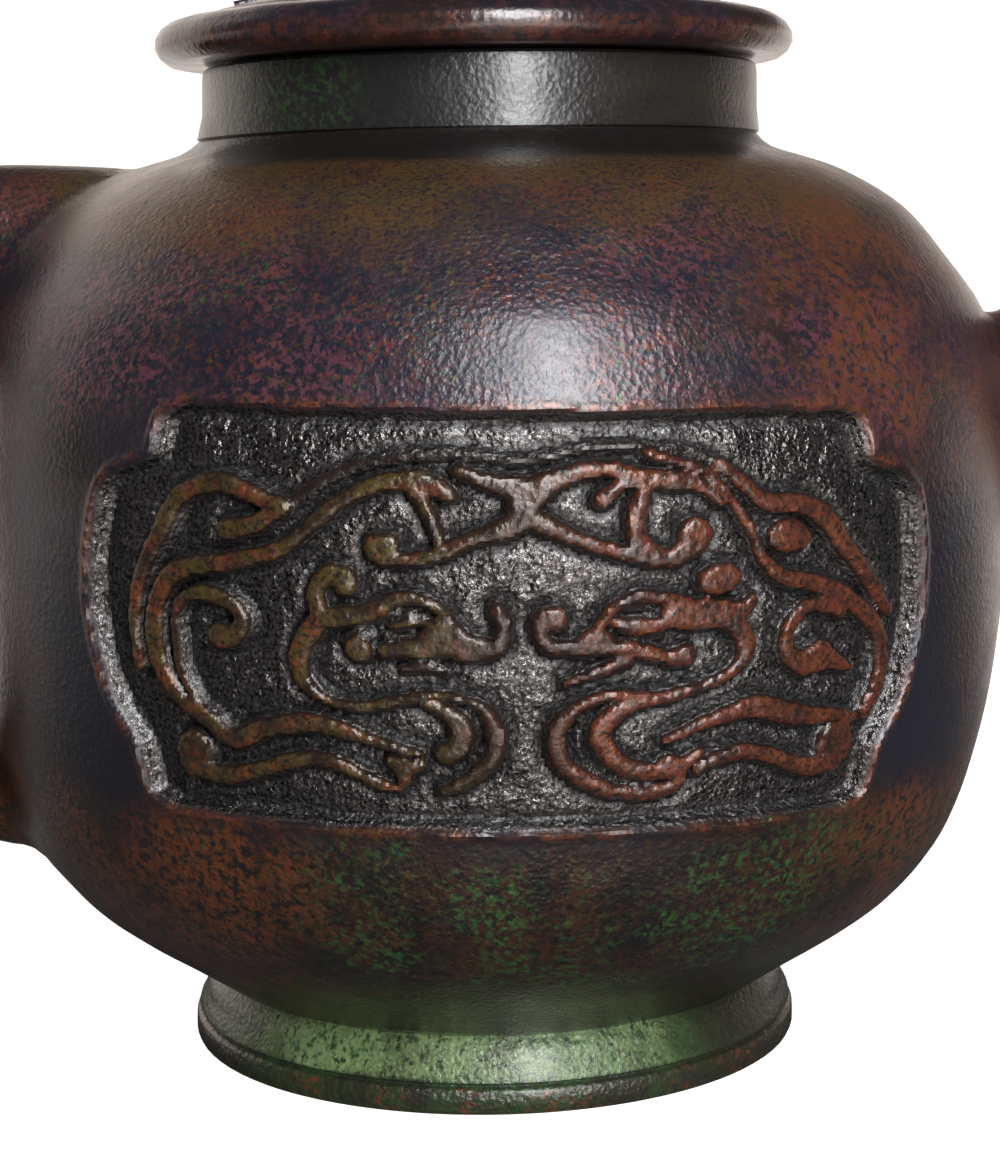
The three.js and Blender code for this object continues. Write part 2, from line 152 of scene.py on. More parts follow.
# Handle and spout: x, z, thickness in the mid-plane and width across it, in millimetres
HANDLE = [
    (-37, 92, 22, 23), (-60, 92.4, 22.6, 19), (-76, 90.6, 17.8, 15.5), (-89, 82, 14, 13.5),
    (-95.6, 68, 12.4, 12.6), (-92.5, 52, 11.6, 12), (-82, 39.5, 11, 12), (-68, 32.2, 11, 13),
    (-50, 28.4, 13, 17),
]
SPOUT = [
    (46, 68, 36, 29), (61, 70.5, 31, 24.5), (72, 76, 25, 21), (81.5, 85.5, 20.5, 18.5),
    (89, 96.5, 17.4, 16.6), (95, 109.4, 15.4, 15.4),
]
SPOUT_WALL = 2.6
SPOUT_MOUTH_RUN = 4.0
ARM_SIDES = 40
ARM_STEPS = 12

# Roots of handle and spout: how far the belly swells and how the crease is found and smoothed
SWELL_REACH = (-2.0, 11.0)
ROOT_SIDE = 40.0
ROOT_REACH = 6.0
ROOT_SKIN = 0.4
ROOT_HEIGHT = 2.4
ROOT_ROUNDS = 12

# Raised bands of the two dragons: widths along a band, points across and up, and its share of the height
LEFT_DRAGON = {
    "crossing": ((2.8, 1.4, 0.9), [(0.6, 70.9), (-1.6, 71.7), (-4, 72.5), (-6, 73.3)], 1.0),
    "forepaw": ((2.6, 1.3, 1.1, 1.4, 2.2), [
        (0.8, 68.8), (-1.8, 67.4), (-5, 66.5), (-7.6, 65.3), (-11, 64.7), (-13.6, 65), (-14.4, 66),
        (-13, 66.1)], 1.0),
    "curl_stem": ((1.4, 1.1, 1.0), [(-10.4, 71.6), (-9.2, 69.9), (-8.3, 67.9), (-7.8, 65.6)], 1.0),
    "curl_echo": ((0.5, 0.6, 0.5), [(-7.6, 69.4), (-7.0, 68), (-7.1, 66.4)], 0.5),
    "leaf": ((1.2, 1.7, 1.0), [(-9.6, 72.4), (-7.8, 71.6), (-6.5, 70.8)], 1.0),
    "body": ((1.6, 1.2, 1.2, 1.5, 1.9, 2.0, 1.4), [
        (-9.6, 72.4), (-14, 72), (-18, 70), (-21.6, 67.2), (-24.4, 65.4), (-29.8, 64.2), (-35, 63.3),
        (-38.2, 61.1), (-39.6, 56.6), (-38.8, 52.2), (-36.2, 49.2)], 1.0),
    "ridge": ((1.1, 0.9, 0.5), [
        (-23.2, 69.8), (-20, 72), (-16, 73.8), (-11, 74.6), (-5, 74.7), (-0.6, 74)], 0.6),
    "mane": ((1.5, 1.7, 1.8, 1.5, 1.0), [
        (-23.4, 69.6), (-27.4, 71), (-31, 72), (-35.4, 70.4), (-38.2, 66.4), (-41, 61.8), (-42.2, 57.4),
        (-42, 53)], 1.0),
    "drop": ((1.4, 1.5, 2.1), [(-24.2, 69.4), (-26.6, 68), (-29.8, 67.3)], 1.0),
    "tail_curl": ((0.8, 1.3, 1.5, 2.5), [
        (-36.6, 58.8), (-35.2, 60.5), (-32.6, 60.9), (-29.8, 60.1), (-28.6, 58.4), (-29.6, 56.9),
        (-31.3, 56.6)], 1.0),
    "tail_stem": ((0.8, 1.1, 0.9), [(-35, 49.8), (-36.7, 53), (-36.8, 58.6)], 0.8),
    "thigh": ((1.6, 1.9, 1.8, 1.8, 1.2, 0.6), [
        (-36, 49.3), (-33.6, 47.9), (-31.6, 46.4), (-29.8, 46.2), (-26.4, 47.6), (-21.8, 48.2),
        (-17.8, 47.5), (-15, 46.6), (-10.2, 45.3)], 1.0),
    "hind_leg": ((4.2, 1.8, 1.4, 1.4, 1.1, 0.6), [
        (-35.8, 44.5), (-36, 42.9), (-32, 42.2), (-27, 43.4), (-22, 44.6), (-18.2, 43.7), (-15, 42.3),
        (-12.6, 41.7)], 1.0),
    "toe": ((0.8, 1.5, 0.8), [(-13.6, 44.5), (-12, 44), (-10.2, 44.2)], 1.0),
    "toe_tip": ((1.9, 1.4, 0.8), [(-12.2, 43.8), (-12.1, 43), (-12.2, 42.3)], 1.0),
    "neck": ((2.0, 2.1, 0.8, 0.9, 0.7, 2.0, 1.3, 0.6), [
        (-20.6, 58.2), (-22.2, 56), (-22.4, 53), (-20, 50.7), (-16, 50.1), (-10.6, 51.1), (-6.4, 51),
        (-3.6, 49.6), (-2.5, 46.8), (-3.4, 44.2), (-6.6, 42), (-8.6, 41.4)], 1.0),
    "claw": ((0.7, 1.6, 2.4, 1.9, 1.5), [
        (-10, 50.6), (-7.4, 49.5), (-6.1, 48), (-6.1, 46.6), (-7.3, 45.3), (-8, 45.4)], 1.0),
    "claw_echo": ((0.5, 0.6, 0.5), [(-7.6, 50.3), (-5.4, 49.2), (-4.5, 47.4), (-4.8, 45.6)], 0.5),
    "crest": ((1.6, 1.5, 2.2, 2.2), [
        (-20.2, 59.8), (-20.4, 61.6), (-19, 63), (-17.5, 62.9), (-17.3, 62.2)], 1.0),
    "brow": ((1.6, 1.7, 1.3, 1.0, 1.0, 1.0), [
        (-21.6, 57.4), (-19.6, 58.7), (-14.9, 59.5), (-12.6, 60.7), (-10.4, 60.9), (-8.2, 60),
        (-6.9, 58.6), (-5.6, 57.2)], 1.0),
    "bridge": ((1.8, 2.2, 2.0), [(-9.4, 56.8), (-8.2, 57.4), (-7.5, 58.4)], 1.0),
    "muzzle": ((1.4, 1.7, 2.8, 1.7, 1.3, 1.7), [
        (-13.5, 55.7), (-10.6, 55.9), (-7.4, 56.4), (-4.2, 55.9), (-2.3, 56.2), (-1.7, 58),
        (-2.2, 59.6)], 1.0),
    "jaw": ((0.6, 1.0, 0.5), [(-11.8, 53.9), (-9.6, 54.2), (-7.2, 53.6)], 0.7),
    "cheek": ((2.1, 2.2, 2.1), [(-16.5, 55.9), (-16, 55.8)], 1.0),
    "cheek_ring": ((0.5, 0.5, 0.5), [(-17.8, 56.6), (-16.2, 57.6), (-14.7, 57)], 0.5),
    "eye": ((0.5, 0.9, 0.5), [(-13, 58.1), (-11, 58.5), (-8.9, 58.5)], 0.85),
    "upper_lid": ((0.4, 0.5, 0.4), [(-14, 58.5), (-11.9, 59.5), (-9.4, 59.2)], 0.6),
    "lower_lid": ((0.4, 0.5, 0.4), [(-13.8, 57.4), (-12, 56.9), (-10.2, 57.1)], 0.6),
}
RIGHT_DRAGON = {
    "crossing": ((3.4, 1.7, 1.3, 1.8), [(0.6, 70.4), (3, 71.9), (6.4, 73), (9.4, 73), (11, 72.2)], 1.0),
    "tongue": ((1.4, 1.2, 1.6), [(11.2, 71.9), (9.6, 71.2), (8.3, 70.2)], 1.0),
    "forepaw": ((2.4, 1.3, 1.3, 2.0, 3.6), [
        (0, 69.2), (2.4, 67.9), (6, 66.3), (10.4, 64.9), (13.4, 64.3), (15.6, 64.3), (17.4, 65.4),
        (17.7, 66.2)], 1.0),
    "curl_stem": ((1.6, 1.9, 2.1), [
        (12.6, 71.3), (11.9, 69.4), (11.5, 67.4), (11.9, 65.8), (13.4, 64.4)], 1.0),
    "shoulder": ((1.9, 1.6, 1.0), [
        (10.4, 72.4), (13, 71.9), (16, 71.7), (18.6, 71.1), (20.5, 69.5)], 1.0),
    "body": ((0.7, 0.9, 1.1, 1.7, 1.8, 1.8, 1.9), [
        (13, 74.4), (19, 72.4), (21.8, 69.4), (23.8, 66.6), (25.4, 63.5), (28, 61.5), (32, 60.5),
        (35.2, 59.3), (38.8, 57.2), (41.4, 55), (42.5, 52), (42.2, 49), (40.8, 46.4)], 1.0),
    "ridge": ((0.5, 0.6, 0.6, 0.9), [
        (-0.6, 74), (2, 74.2), (8, 75.2), (15, 74.8), (18, 74.3), (20.6, 73.1)], 0.6),
    "mane": ((1.2, 1.6, 2.1, 1.7, 1.2), [
        (20.6, 73), (23.4, 70.8), (25.8, 69.1), (30, 68.6), (33.2, 67.1), (36, 64), (38.8, 61.2),
        (41, 58.8), (43, 56.6)], 1.0),
    "drop": ((2.6, 3.3, 2.0), [(27.2, 65.6), (28.6, 65.6), (30.2, 65.3)], 1.0),
    "tail_curl": ((1.0, 1.4, 1.5, 3.2), [
        (36, 57.2), (33.2, 58.1), (30.6, 58), (28.7, 56), (28.9, 53.7), (31, 52.5), (33.4, 52.9)], 1.0),
    "tail_tip": ((2.6, 1.6, 0.6), [(33.6, 53), (35.8, 52), (37.6, 51.3)], 1.0),
    "thigh": ((0.6, 1.2, 2.2, 2.2, 1.0), [
        (15, 45.9), (18, 46.9), (21.4, 47.9), (25.4, 48.5), (28.8, 47.6), (32, 46.9), (38.8, 46)], 1.0),
    "hind_leg": ((1.0, 1.6, 1.4, 2.0, 4.8), [
        (18.9, 42.5), (21, 43.4), (24, 43.9), (27, 43.4), (30, 42.2), (33.4, 41.3), (36.4, 42),
        (36.4, 43.4)], 1.0),
    "neck": ((2.2, 1.9, 1.0, 1.1, 2.3, 1.8, 1.5, 1.0), [
        (21.6, 57.8), (23.4, 56.2), (23.8, 54), (21.9, 52.2), (17.6, 50.8), (12.1, 49.9), (8.8, 48.3),
        (8.2, 46.2), (10.6, 43.5), (13.4, 42.8), (16.4, 43), (19.1, 44.3)], 1.0),
    "palm": ((2.4, 2.4, 1.6), [(15.4, 43.1), (16.4, 42.6), (16.6, 41.4)], 1.0),
    "claw": ((0.8, 1.1, 2.0, 1.7, 1.2, 1.6), [
        (13, 50.6), (8.5, 50.7), (5.4, 49.5), (3.7, 47.6), (3.8, 45), (5.6, 42.9), (9, 41.2),
        (13, 40.5), (16.2, 41)], 1.0),
    "claw_echo": ((0.5, 0.6, 0.5), [
        (7, 49.5), (6, 47.4), (6.3, 44.7), (8.3, 42.6), (11, 41.8), (15.4, 41.7)], 0.5),
    "crest": ((2.2, 3.0, 2.6), [(19.2, 61.7), (20.4, 61.8), (21.6, 61.9)], 1.0),
    "brow": ((1.0, 1.0, 1.1, 1.6), [
        (7.6, 57.4), (8.7, 58.9), (10.4, 60.3), (12.8, 60.6), (14.8, 60.1), (17, 59.4)], 1.0),
    "bridge": ((1.6, 1.6, 1.0), [(6.4, 56.4), (7.8, 56.9), (9.2, 56.2)], 1.0),
    "nape": ((2.4, 3.0, 2.2, 1.2), [
        (15.4, 58.5), (17.6, 58.4), (20.6, 58.4), (22.6, 58.4), (24.2, 59.4)], 1.0),
    "muzzle": ((1.2, 1.5, 1.3, 1.4), [(2.8, 55.9), (5.6, 55.7), (10.4, 55.5), (14.2, 54.6)], 1.0),
    "nose": ((1.3, 1.2, 1.6, 2.4), [(3, 56), (1.9, 57.2), (2.1, 58.6), (3.4, 58.7)], 1.0),
    "jaw": ((0.5, 1.1, 1.4), [(4.4, 52.2), (7.6, 53.2), (10.8, 54.2)], 0.9),
    "cheek": ((1.6, 1.9, 2.0), [(15.6, 54.2), (17, 54.4)], 1.0),
    "eye": ((0.7, 1.7, 1.2), [(9.2, 58.1), (11.6, 57.6), (14.4, 57.8)], 0.95),
    "upper_lid": ((0.4, 0.6, 0.4), [(9.4, 59.2), (11.6, 59.6), (14.6, 58.8)], 0.6),
    "lower_lid": ((0.4, 0.7, 0.4), [(11, 56.4), (12.8, 56.3), (14.6, 56.6)], 0.5),
}
BACK_BANDS = ("body", "neck", "thigh")

# Lid: flange, low dome and knob, in millimetres
LID_OFFSET = -0.6
LID_COLUMNS = 144
LID_PATH_RADIUS = 20.0
LIP_UNDERSIDE = 115.2
VEIN_START = (9.5, 0.0, 124.45)
VEIN_MIDDLE = (19.0, 3.2, 122.9)
VEIN_END = (29.0, 0.0, 120.85)
LID_OUTLINE = [
    (0.0, 122.2), (10.0, 121.9), (17.8, 120.5), (22.5, 118.4), (25.2, 115.8), (25.4, 112.0),
    (25.5, 110.8), (25.9, 110.6), (27.2, 110.6), (27.6, 110.9), (27.6, 114.4), (28.0, 114.6),
    (34.0, 114.6), (35.4, 114.8), (36.4, 115.5), (36.95, 116.5), (36.9, 117.5), (36.3, 118.5),
    (35.2, 119.3), (33.8, 119.75), (32.4, 119.8), (31.5, 119.7), (31.0, 119.9), (30.2, 120.5),
    (28.0, 121.0), (24.0, 121.7), (18.0, 122.9), (12.0, 124.1), (8.0, 124.7), (6.0, 125.0),
    (5.0, 125.5), (4.6, 126.4), (4.8, 127.6), (6.2, 129.2), (7.7, 130.8), (8.35, 132.5),
    (8.1, 134.2), (6.9, 136.0), (4.8, 137.6), (2.4, 138.6), (0.0, 139.0),
]

# Studio, in metres
FLOOR_HALF_WIDTH = 4.0
BEHIND_EWER = (0.02, 0.28)
BEHIND_LEAN = -0.2
GLARE_EDGE = (0.1, 0.05)
GLARE_START = (-0.08, -0.25)
KEY_AWAY = 0.6
KEY_WIDTH = 0.13
KEY_LENGTH = 0.52
KEY_LOW_LENGTH = 0.2
KEY_LOW_DROP = 0.34

# Bright part of the surround, as parts of a direction
SKY_BEHIND = (0.22, 0.40)
SKY_LOW = (0.62, 0.22)
SKY_LEAN = 0.42


def length(name, description, millimetres):
    """A length property with its default."""
    return bpy.props.FloatProperty(
        name=name, description=description, default=millimetres * MM, unit="LENGTH")


def amount(name, description, value):
    """A property for a share or a strength, with its default."""
    return bpy.props.FloatProperty(name=name, description=description, default=value, min=0.0)


def angle(name, description, degrees):
    """An angle property with its default."""
    return bpy.props.FloatProperty(
        name=name, description=description, default=math.radians(degrees), subtype="ANGLE")


def colour(name, description, value):
    """A colour property with its default."""
    return bpy.props.FloatVectorProperty(
        name=name, description=description, default=(*value, 1.0),
        size=4, subtype="COLOR", min=0.0, max=1.0)


class EwerSizes(bpy.types.PropertyGroup):
    """Sizes of the cast relief and of the mesh that carries it"""

    panel_depth: length("Panel depth", "How deep the panels are sunk", 1.8)
    band_height: length("Band height", "How high the dragons' bands stand", 1.5)
    band_slope: length("Band slope", "Run of a band's sloping side", 0.75)
    ground_lumps: length("Ground lumps", "Unevenness of the panels' ground", 0.2)
    crease_depth: length("Crease depth", "Depth of the groove along each band", 0.3)
    border_slope: length("Border slope", "Run of a panel's sloping border", 1.15)
    fine_step: length("Fine step", "Mesh step over the front panel", 0.36)
    root_fillet: length("Root fillet", "Swell of the belly round the handle and the spout", 1.8)
    grain_depth: length("Grain depth", "Depth of the cast grain on the vessel", 0.34)
    lid_grain_depth: length("Lid grain depth", "Depth of the cast grain on the lid", 0.1)
    lid_waver: length("Lid waver", "Unevenness of the lid's upper side", 0.5)
    vein_radius: length("Vein radius", "Radius of the raised veins on the lid", 0.45)
    vein_count: bpy.props.IntProperty(
        name="Veins", description="Veins round the dome of the lid", default=18, min=3)


class EwerColours(bpy.types.PropertyGroup):
    """Colours of the patina"""

    umber: colour("Umber", "Dark brown of the bare patina", (0.016, 0.010, 0.0085))
    navy: colour("Navy", "Blue-black sheen of the belly", (0.0115, 0.0122, 0.0215))
    crimson: colour("Crimson", "Red specks above the panel", (0.13, 0.040, 0.056))
    rust: colour("Rust", "Orange brown of the shoulder and edges", (0.115, 0.034, 0.013))
    ochre: colour("Ochre", "Worn tops of the left dragon", (0.062, 0.042, 0.013))
    terracotta: colour("Terracotta", "Worn tops of the right dragon", (0.105, 0.028, 0.015))
    verdigris: colour("Verdigris", "Green of the foot and lower belly", (0.030, 0.082, 0.024))
    # Leaf is partly painted light: a pale green that stands for light falling on the front of the foot's
    # upward slope
    leaf: colour("Leaf", "Pale green of the foot's upper edge", (0.17, 0.25, 0.105))
    olive: colour("Olive", "Dull green brown of the foot", (0.024, 0.026, 0.015))
    slate: colour("Slate", "Grey black of the neck", (0.0145, 0.0135, 0.0145))
    steel: colour("Steel", "Bare grey of the panels' ground", (0.145, 0.139, 0.138))
    # Soot and shade: real dark patina on the lower belly and the panel ground, and painted shade in the
    # hollow under the neck, in the foot's groove and in the creases round the bands
    soot_and_shade: colour("Soot and shade", "Black of grooves and creases", (0.0075, 0.0070, 0.0072))


class EwerStage(bpy.types.PropertyGroup):
    """Studio round the ewer"""

    floor_colour: colour("Floor", "Pale floor", (0.92, 0.92, 0.92))
    surround_colour: colour("Surround", "Warm white that the bronze mirrors", (1.0, 0.88, 0.80))
    fill: amount("Fill", "Brightness of the white surround behind the ewer", 1.2)
    front_fill: amount("Front fill", "Brightness of the surround on the camera's side", 0.07)
    key_power: amount("Key power", "Power of the tall front light in watts", 7.4)
    key_low: amount("Key low", "Power of the light's lower stretch as a share", 0.12)
    key_turn: angle("Key turn", "How far right of the panel the light stands", 13.0)
    key_height: length("Key height", "How high the light stands over the floor", 440.0)
    floor_glow: amount("Floor glow", "Light of the floor behind the ewer, as the bronze mirrors it", 0.85)
    floor_white: amount("Floor white", "Glow of the floor as the camera sees it", 1.08)
    floor_streak: amount("Floor streak", "Glare of the front light on the floor, as mirrored", 5.0)
    bounce: amount("Bounce", "Paleness of the front floor, as the bronze mirrors it", 0.1)
    focal_length: bpy.props.FloatProperty(
        name="Focal length", description="Lens that gives the close perspective", default=77.9, min=1.0)
    distance: length("Distance", "Camera to the axis of the vessel", 303.4)
    aim_height: length("Aim height", "Height on the axis that the lens points at", 53.4)
    aim_side: length("Aim side", "How far right of the axis the lens points", 1.45)
    pitch: angle("Pitch", "How far the lens looks down", 8.0)
    turn: angle("Turn", "How far left of the panel the camera stands", 3.2)
    roll: angle("Roll", "Lean of the camera", -0.9)


def smoothstep(low, high, value):
    """0 below low, 1 above high, with a soft rise between."""
    t = np.clip((value - low) / (high - low), 0.0, 1.0)
    return t * t * (3.0 - 2.0 * t)


def spline(points, per_span):
    """Smooth curve through points, with the given number of steps in each span."""
    points = np.asarray(points, dtype=float)
    padded = np.vstack([points[:1], points, points[-1:]])
    t = np.linspace(0.0, 1.0, per_span, endpoint=False)[:, None]
    spans = []
    for before, start, end, after in zip(padded, padded[1:], padded[2:], padded[3:]):
        leave = (end - before) / 2.0
        arrive = (after - start) / 2.0
        cubic = 2.0 * start - 2.0 * end + leave + arrive
        square = -3.0 * start + 3.0 * end - 2.0 * leave - arrive
        spans.append(((cubic * t + square) * t + leave) * t + start)
    return np.vstack([*spans, points[-1:]])


def segment_distance(places, path, half_widths):
    """Distance from each place to a path, less the path's half-width there."""
    best = np.full(len(places), FAR)
    for start, end, wide, wide_end in zip(path, path[1:], half_widths, half_widths[1:]):
        along = end - start
        t = np.clip(((places - start) @ along) / max(along @ along, 1e-12), 0.0, 1.0)
        gap = np.linalg.norm(places - start - t[:, None] * along, axis=1)
        best = np.minimum(best, gap - (wide + t * (wide_end - wide)))
    return best


def band_distance(places, band, mirror=1.0):
    """Distance from places on the unrolled belly to the edge of one raised band."""
    widths, points, _ = band
    path = spline(points, BAND_STEPS) * (mirror, 1.0) + (0.0, BAND_RISE)
    shares = np.linspace(0.0, len(widths) - 1.0, len(path))
    half = np.interp(shares, range(len(widths)), widths) / 2.0
    low = path.min(axis=0) - BAND_MARGIN
    high = path.max(axis=0) + BAND_MARGIN
    near = np.all((places > low) & (places < high), axis=1)
    distance = np.full(len(places), FAR)
    distance[near] = segment_distance(places[near], path, half)
    return distance


def panel_outline():
    """Corners of the sunken panel: a long field with stepped-in corners and bowed ends."""
    def quarter(vertical, half, notch):
        """Corners from the long edge round to the bowed end."""
        top = PANEL_HALF_HEIGHT
        bow_across, bow_up = PANEL_CORNER_BOW
        return [
            (half - PANEL_CORNER, vertical * top),
            (half - PANEL_CORNER * bow_across, vertical * (top - PANEL_CORNER * bow_up)),
            (half, vertical * (top - PANEL_CORNER)),
            (half + PANEL_NOTCH_FLARE, notch),
            *((PANEL_END_HALF_WIDTH - inwards, notch - vertical * past) for inwards, past in PANEL_END_BOW),
        ]

    right = quarter(-1, PANEL_BOTTOM_HALF_WIDTH, PANEL_NOTCH_BOTTOM)
    right += [(PANEL_END_HALF_WIDTH, 0.0)]
    right += quarter(1, PANEL_TOP_HALF_WIDTH, PANEL_NOTCH_TOP)[::-1]
    right = spline(right, 5)
    ring = np.vstack([right, right[::-1] * (-1.0, 1.0)])
    cosine, sine = math.cos(PANEL_TILT), math.sin(PANEL_TILT)
    return ring @ np.array([[cosine, sine], [-sine, cosine]]) + (0.0, PANEL_CENTRE)


def outline_distance(places, ring):
    """Distance from places to a closed outline, negative inside it."""
    closed = np.vstack([ring, ring[:1]])
    distance = segment_distance(places, closed, np.zeros(len(closed)))
    inside = np.zeros(len(places), dtype=bool)
    for start, end in zip(closed, closed[1:]):
        crosses = (start[1] > places[:, 1]) != (end[1] > places[:, 1])
        rise = end[1] - start[1] if end[1] != start[1] else 1e-12
        at = start[0] + (places[:, 1] - start[1]) / rise * (end[0] - start[0])
        inside ^= crosses & (places[:, 0] < at)
    return np.where(inside, -distance, distance)


def unevenness(places, lumps, seed):
    """Soft lumps over places: the sum of a noise at each depth and size in millimetres."""
    return sum(
        depth * np.array([noise.noise((across / size, height / size, seed)) for across, height in places])
        for depth, size in lumps)


def panel_strokes(back):
    """Bands of a panel, each with its mirroring: both dragons in front, a plainer pair behind."""
    if back:
        return [(LEFT_DRAGON[name], mirror) for name in BACK_BANDS for mirror in (1.0, -1.0)]
    return [(stroke, 1.0) for dragon in (LEFT_DRAGON, RIGHT_DRAGON) for stroke in dragon.values()]


def panel_fields(places, sizes, back):
    """Outward shift in millimetres and the masks of a panel for places across and up the belly."""
    slope = sizes.band_slope / MM
    border_run = sizes.border_slope / MM
    border = outline_distance(places, panel_outline()) + unevenness(places, BORDER_WANDER, BORDER_SEED)
    sunk = 1.0 - smoothstep(-border_run, BORDER_LIP, border)
    rim = np.exp(-((border - RIM_PLACE) / RIM_SPREAD) ** 2)
    band = np.zeros(len(places))
    # The crease mask both cuts a groove and marks where the patina paints shade lines
    crease = BORDER_CREASE_SHARE * np.exp(-((border + BORDER_CREASE * border_run) / CREASE_SPREAD) ** 2)
    wander = unevenness(places, BAND_WANDER, BAND_SEED)
    for stroke, mirror in panel_strokes(back):
        share = stroke[2]
        edge = band_distance(places, stroke, mirror) + wander
        side = 1.0 - smoothstep(BAND_SIDE[0] * slope, BAND_SIDE[1] * slope, edge)
        crown = np.clip(-edge / CROWN_RUN, 0.0, CROWN_RISE)
        band = np.maximum(band, share * ((1.0 - CROWN_RISE) * side + crown))
        crease = np.maximum(crease, share * np.exp(-((edge - BAND_CREASE * slope) / CREASE_SPREAD) ** 2))
    crease *= sunk * (1.0 - smoothstep(*BAND_FOOT, band))
    top = np.clip(band, 0.0, 1.0)
    ground = unevenness(places, GROUND_LUMPS, GROUND_SEED) * sunk * (1.0 - GROUND_UNDER_BAND * top)
    shift = np.minimum(sunk * BAND_FULL, 1.0) * band * sizes.band_height / MM
    shift -= sizes.panel_depth / MM * sunk
    shift += sizes.ground_lumps / MM * ground + RIM_RISE * rim
    shift += unevenness(places, TOP_LUMPS, GROUND_SEED) * top * sunk
    shift -= sizes.crease_depth / MM * crease
    return shift, dict(zip(PANEL_MASKS, (top * sunk, sunk, rim, crease)))


def belly_profile():
    """Whole outer outline, foot to neck, as an array of radius and height."""
    belly = spline(BELLY_OUTLINE, 5)
    return np.vstack([FOOT_OUTLINE, belly, NECK_OUTLINE])


def shell_rows(outline, fine_step):
    """Outline in three stretches: below, over and above the panels, dense in the middle one."""
    rows = int((PANEL_HIGH - PANEL_LOW) / fine_step)
    dense = np.linspace(PANEL_LOW, PANEL_HIGH, rows)
    radius = np.interp(dense, outline[:, 1], outline[:, 0])
    lower = outline[outline[:, 1] < PANEL_LOW - fine_step]
    upper = outline[outline[:, 1] > PANEL_HIGH + fine_step]
    return lower, np.column_stack([radius, dense]), upper


def column_angles(fine_step):
    """Angles round the vessel: dense over the front panel, coarser over the back and the sides."""
    reach = PANEL_REACH / BELLY_RADIUS

    def stretch(start, end, step):
        """Even angles over a stretch, their number a whole multiple of the coarse step."""
        count = int((end - start) * BELLY_RADIUS / step / COARSE) * COARSE
        return np.linspace(start, end, count, endpoint=False)

    return np.concatenate([
        stretch(-reach, reach, fine_step),
        stretch(reach, math.pi - reach, fine_step * 4.0),
        stretch(math.pi - reach, math.pi + reach, fine_step * 3.0),
        stretch(math.pi + reach, 2.0 * math.pi - reach, fine_step * 4.0),
    ])


def mesh_object(name, vertices, faces):
    """A new object from vertices in millimetres and faces."""
    mesh = bpy.data.meshes.new(name)
    mesh.from_pydata((np.asarray(vertices) * MM).tolist(), [], faces)
    mesh.update()
    piece = bpy.data.objects.new(name, mesh)
    bpy.context.scene.collection.objects.link(piece)
    return piece


def shell_faces(counts):
    """Faces between rings of points, stitched where one ring has several points for each of the next."""
    starts = np.concatenate([[0], np.cumsum(counts)]).tolist()
    faces = []
    for row, (count, above) in enumerate(zip(counts, counts[1:])):
        base, top = starts[row], starts[row + 1]
        cells = min(count, above)
        low_step, high_step = count // cells, above // cells
        for j in range(cells):
            low = [base + (j * low_step + i) % count for i in range(low_step + 1)]
            high = [top + (j * high_step + i) % above for i in range(high_step, -1, -1)]
            faces.append((*low, *high))
    first, last = starts[-1], starts[-1] + 1
    for j in range(counts[0]):
        faces.append((first, (j + 1) % counts[0], j))
    top, count = starts[-2], counts[-1]
    for j in range(count):
        faces.append((last, top + j, top + (j + 1) % count))
    return faces


def ring_solid(name, rings):
    """A closed solid over rings of points, with a fan over each end."""
    ends = [rings[0].mean(axis=0), rings[-1].mean(axis=0)]
    return mesh_object(name, np.vstack([*rings, ends]), shell_faces([len(ring) for ring in rings]))


def turned_rings(outline, angles, shift=0.0):
    """Rings of points turned about the axis, pushed out by shift."""
    radius = outline[:, :1] + shift
    height = np.broadcast_to(outline[:, 1:], (len(outline), len(angles)))
    return np.stack([radius * np.sin(angles), -radius * np.cos(angles), height], axis=-1)


def arm_rings(stations, margin=0.0, run_out=0.0):
    """Rings of an arm in the vertical mid-plane, thinned by a margin."""
    curve = spline(stations, ARM_STEPS)
    tangent = np.gradient(curve[:, :2], axis=0)
    tangent /= np.linalg.norm(tangent, axis=1, keepdims=True)
    if run_out:
        tip = curve[-1].copy()
        tip[:2] += tangent[-1] * run_out
        curve = np.vstack([curve, tip])
        tangent = np.vstack([tangent, tangent[-1:]])
    angles = -np.linspace(0.0, 2.0 * math.pi, ARM_SIDES, endpoint=False)
    up = np.cos(angles) * (curve[:, 2:3] / 2.0 - margin)
    out = np.sin(angles) * (curve[:, 3:4] / 2.0 - margin)
    x = curve[:, 0:1] - tangent[:, 1:2] * up
    z = curve[:, 1:2] + tangent[:, 0:1] * up
    return np.stack([x, out, z], axis=-1)


def arm_distance(points, stations):
    """Rough distance from points to the skin of an arm."""
    curve = spline(stations, ARM_STEPS)
    best = np.full(len(points), FAR)
    for x, z, thick, wide in curve:
        gap = np.sqrt((points[:, 0] - x) ** 2 + points[:, 1] ** 2 + (points[:, 2] - z) ** 2)
        best = np.minimum(best, gap - (thick + wide) / 4.0)
    return best


def boolean(target, tool, operation):
    """Joins or cuts target with tool, then removes the tool."""
    modifier = target.modifiers.new("cut", "BOOLEAN")
    modifier.operation = operation
    modifier.object = tool
    modifier.solver = "MANIFOLD"
    evaluated = target.evaluated_get(bpy.context.evaluated_depsgraph_get())
    result = bpy.data.meshes.new_from_object(evaluated)
    target.modifiers.remove(modifier)
    old = target.data
    target.data = result
    bpy.data.meshes.remove(old)
    bpy.data.objects.remove(tool)


def root_swell(points, sizes):
    """How far the belly swells out towards the roots of the handle and the spout."""
    swell = np.zeros(len(points))
    for stations in (HANDLE, SPOUT):
        near = 1.0 - smoothstep(*SWELL_REACH, arm_distance(points, stations))
        swell += sizes.root_fillet / MM * near ** 2
    return swell


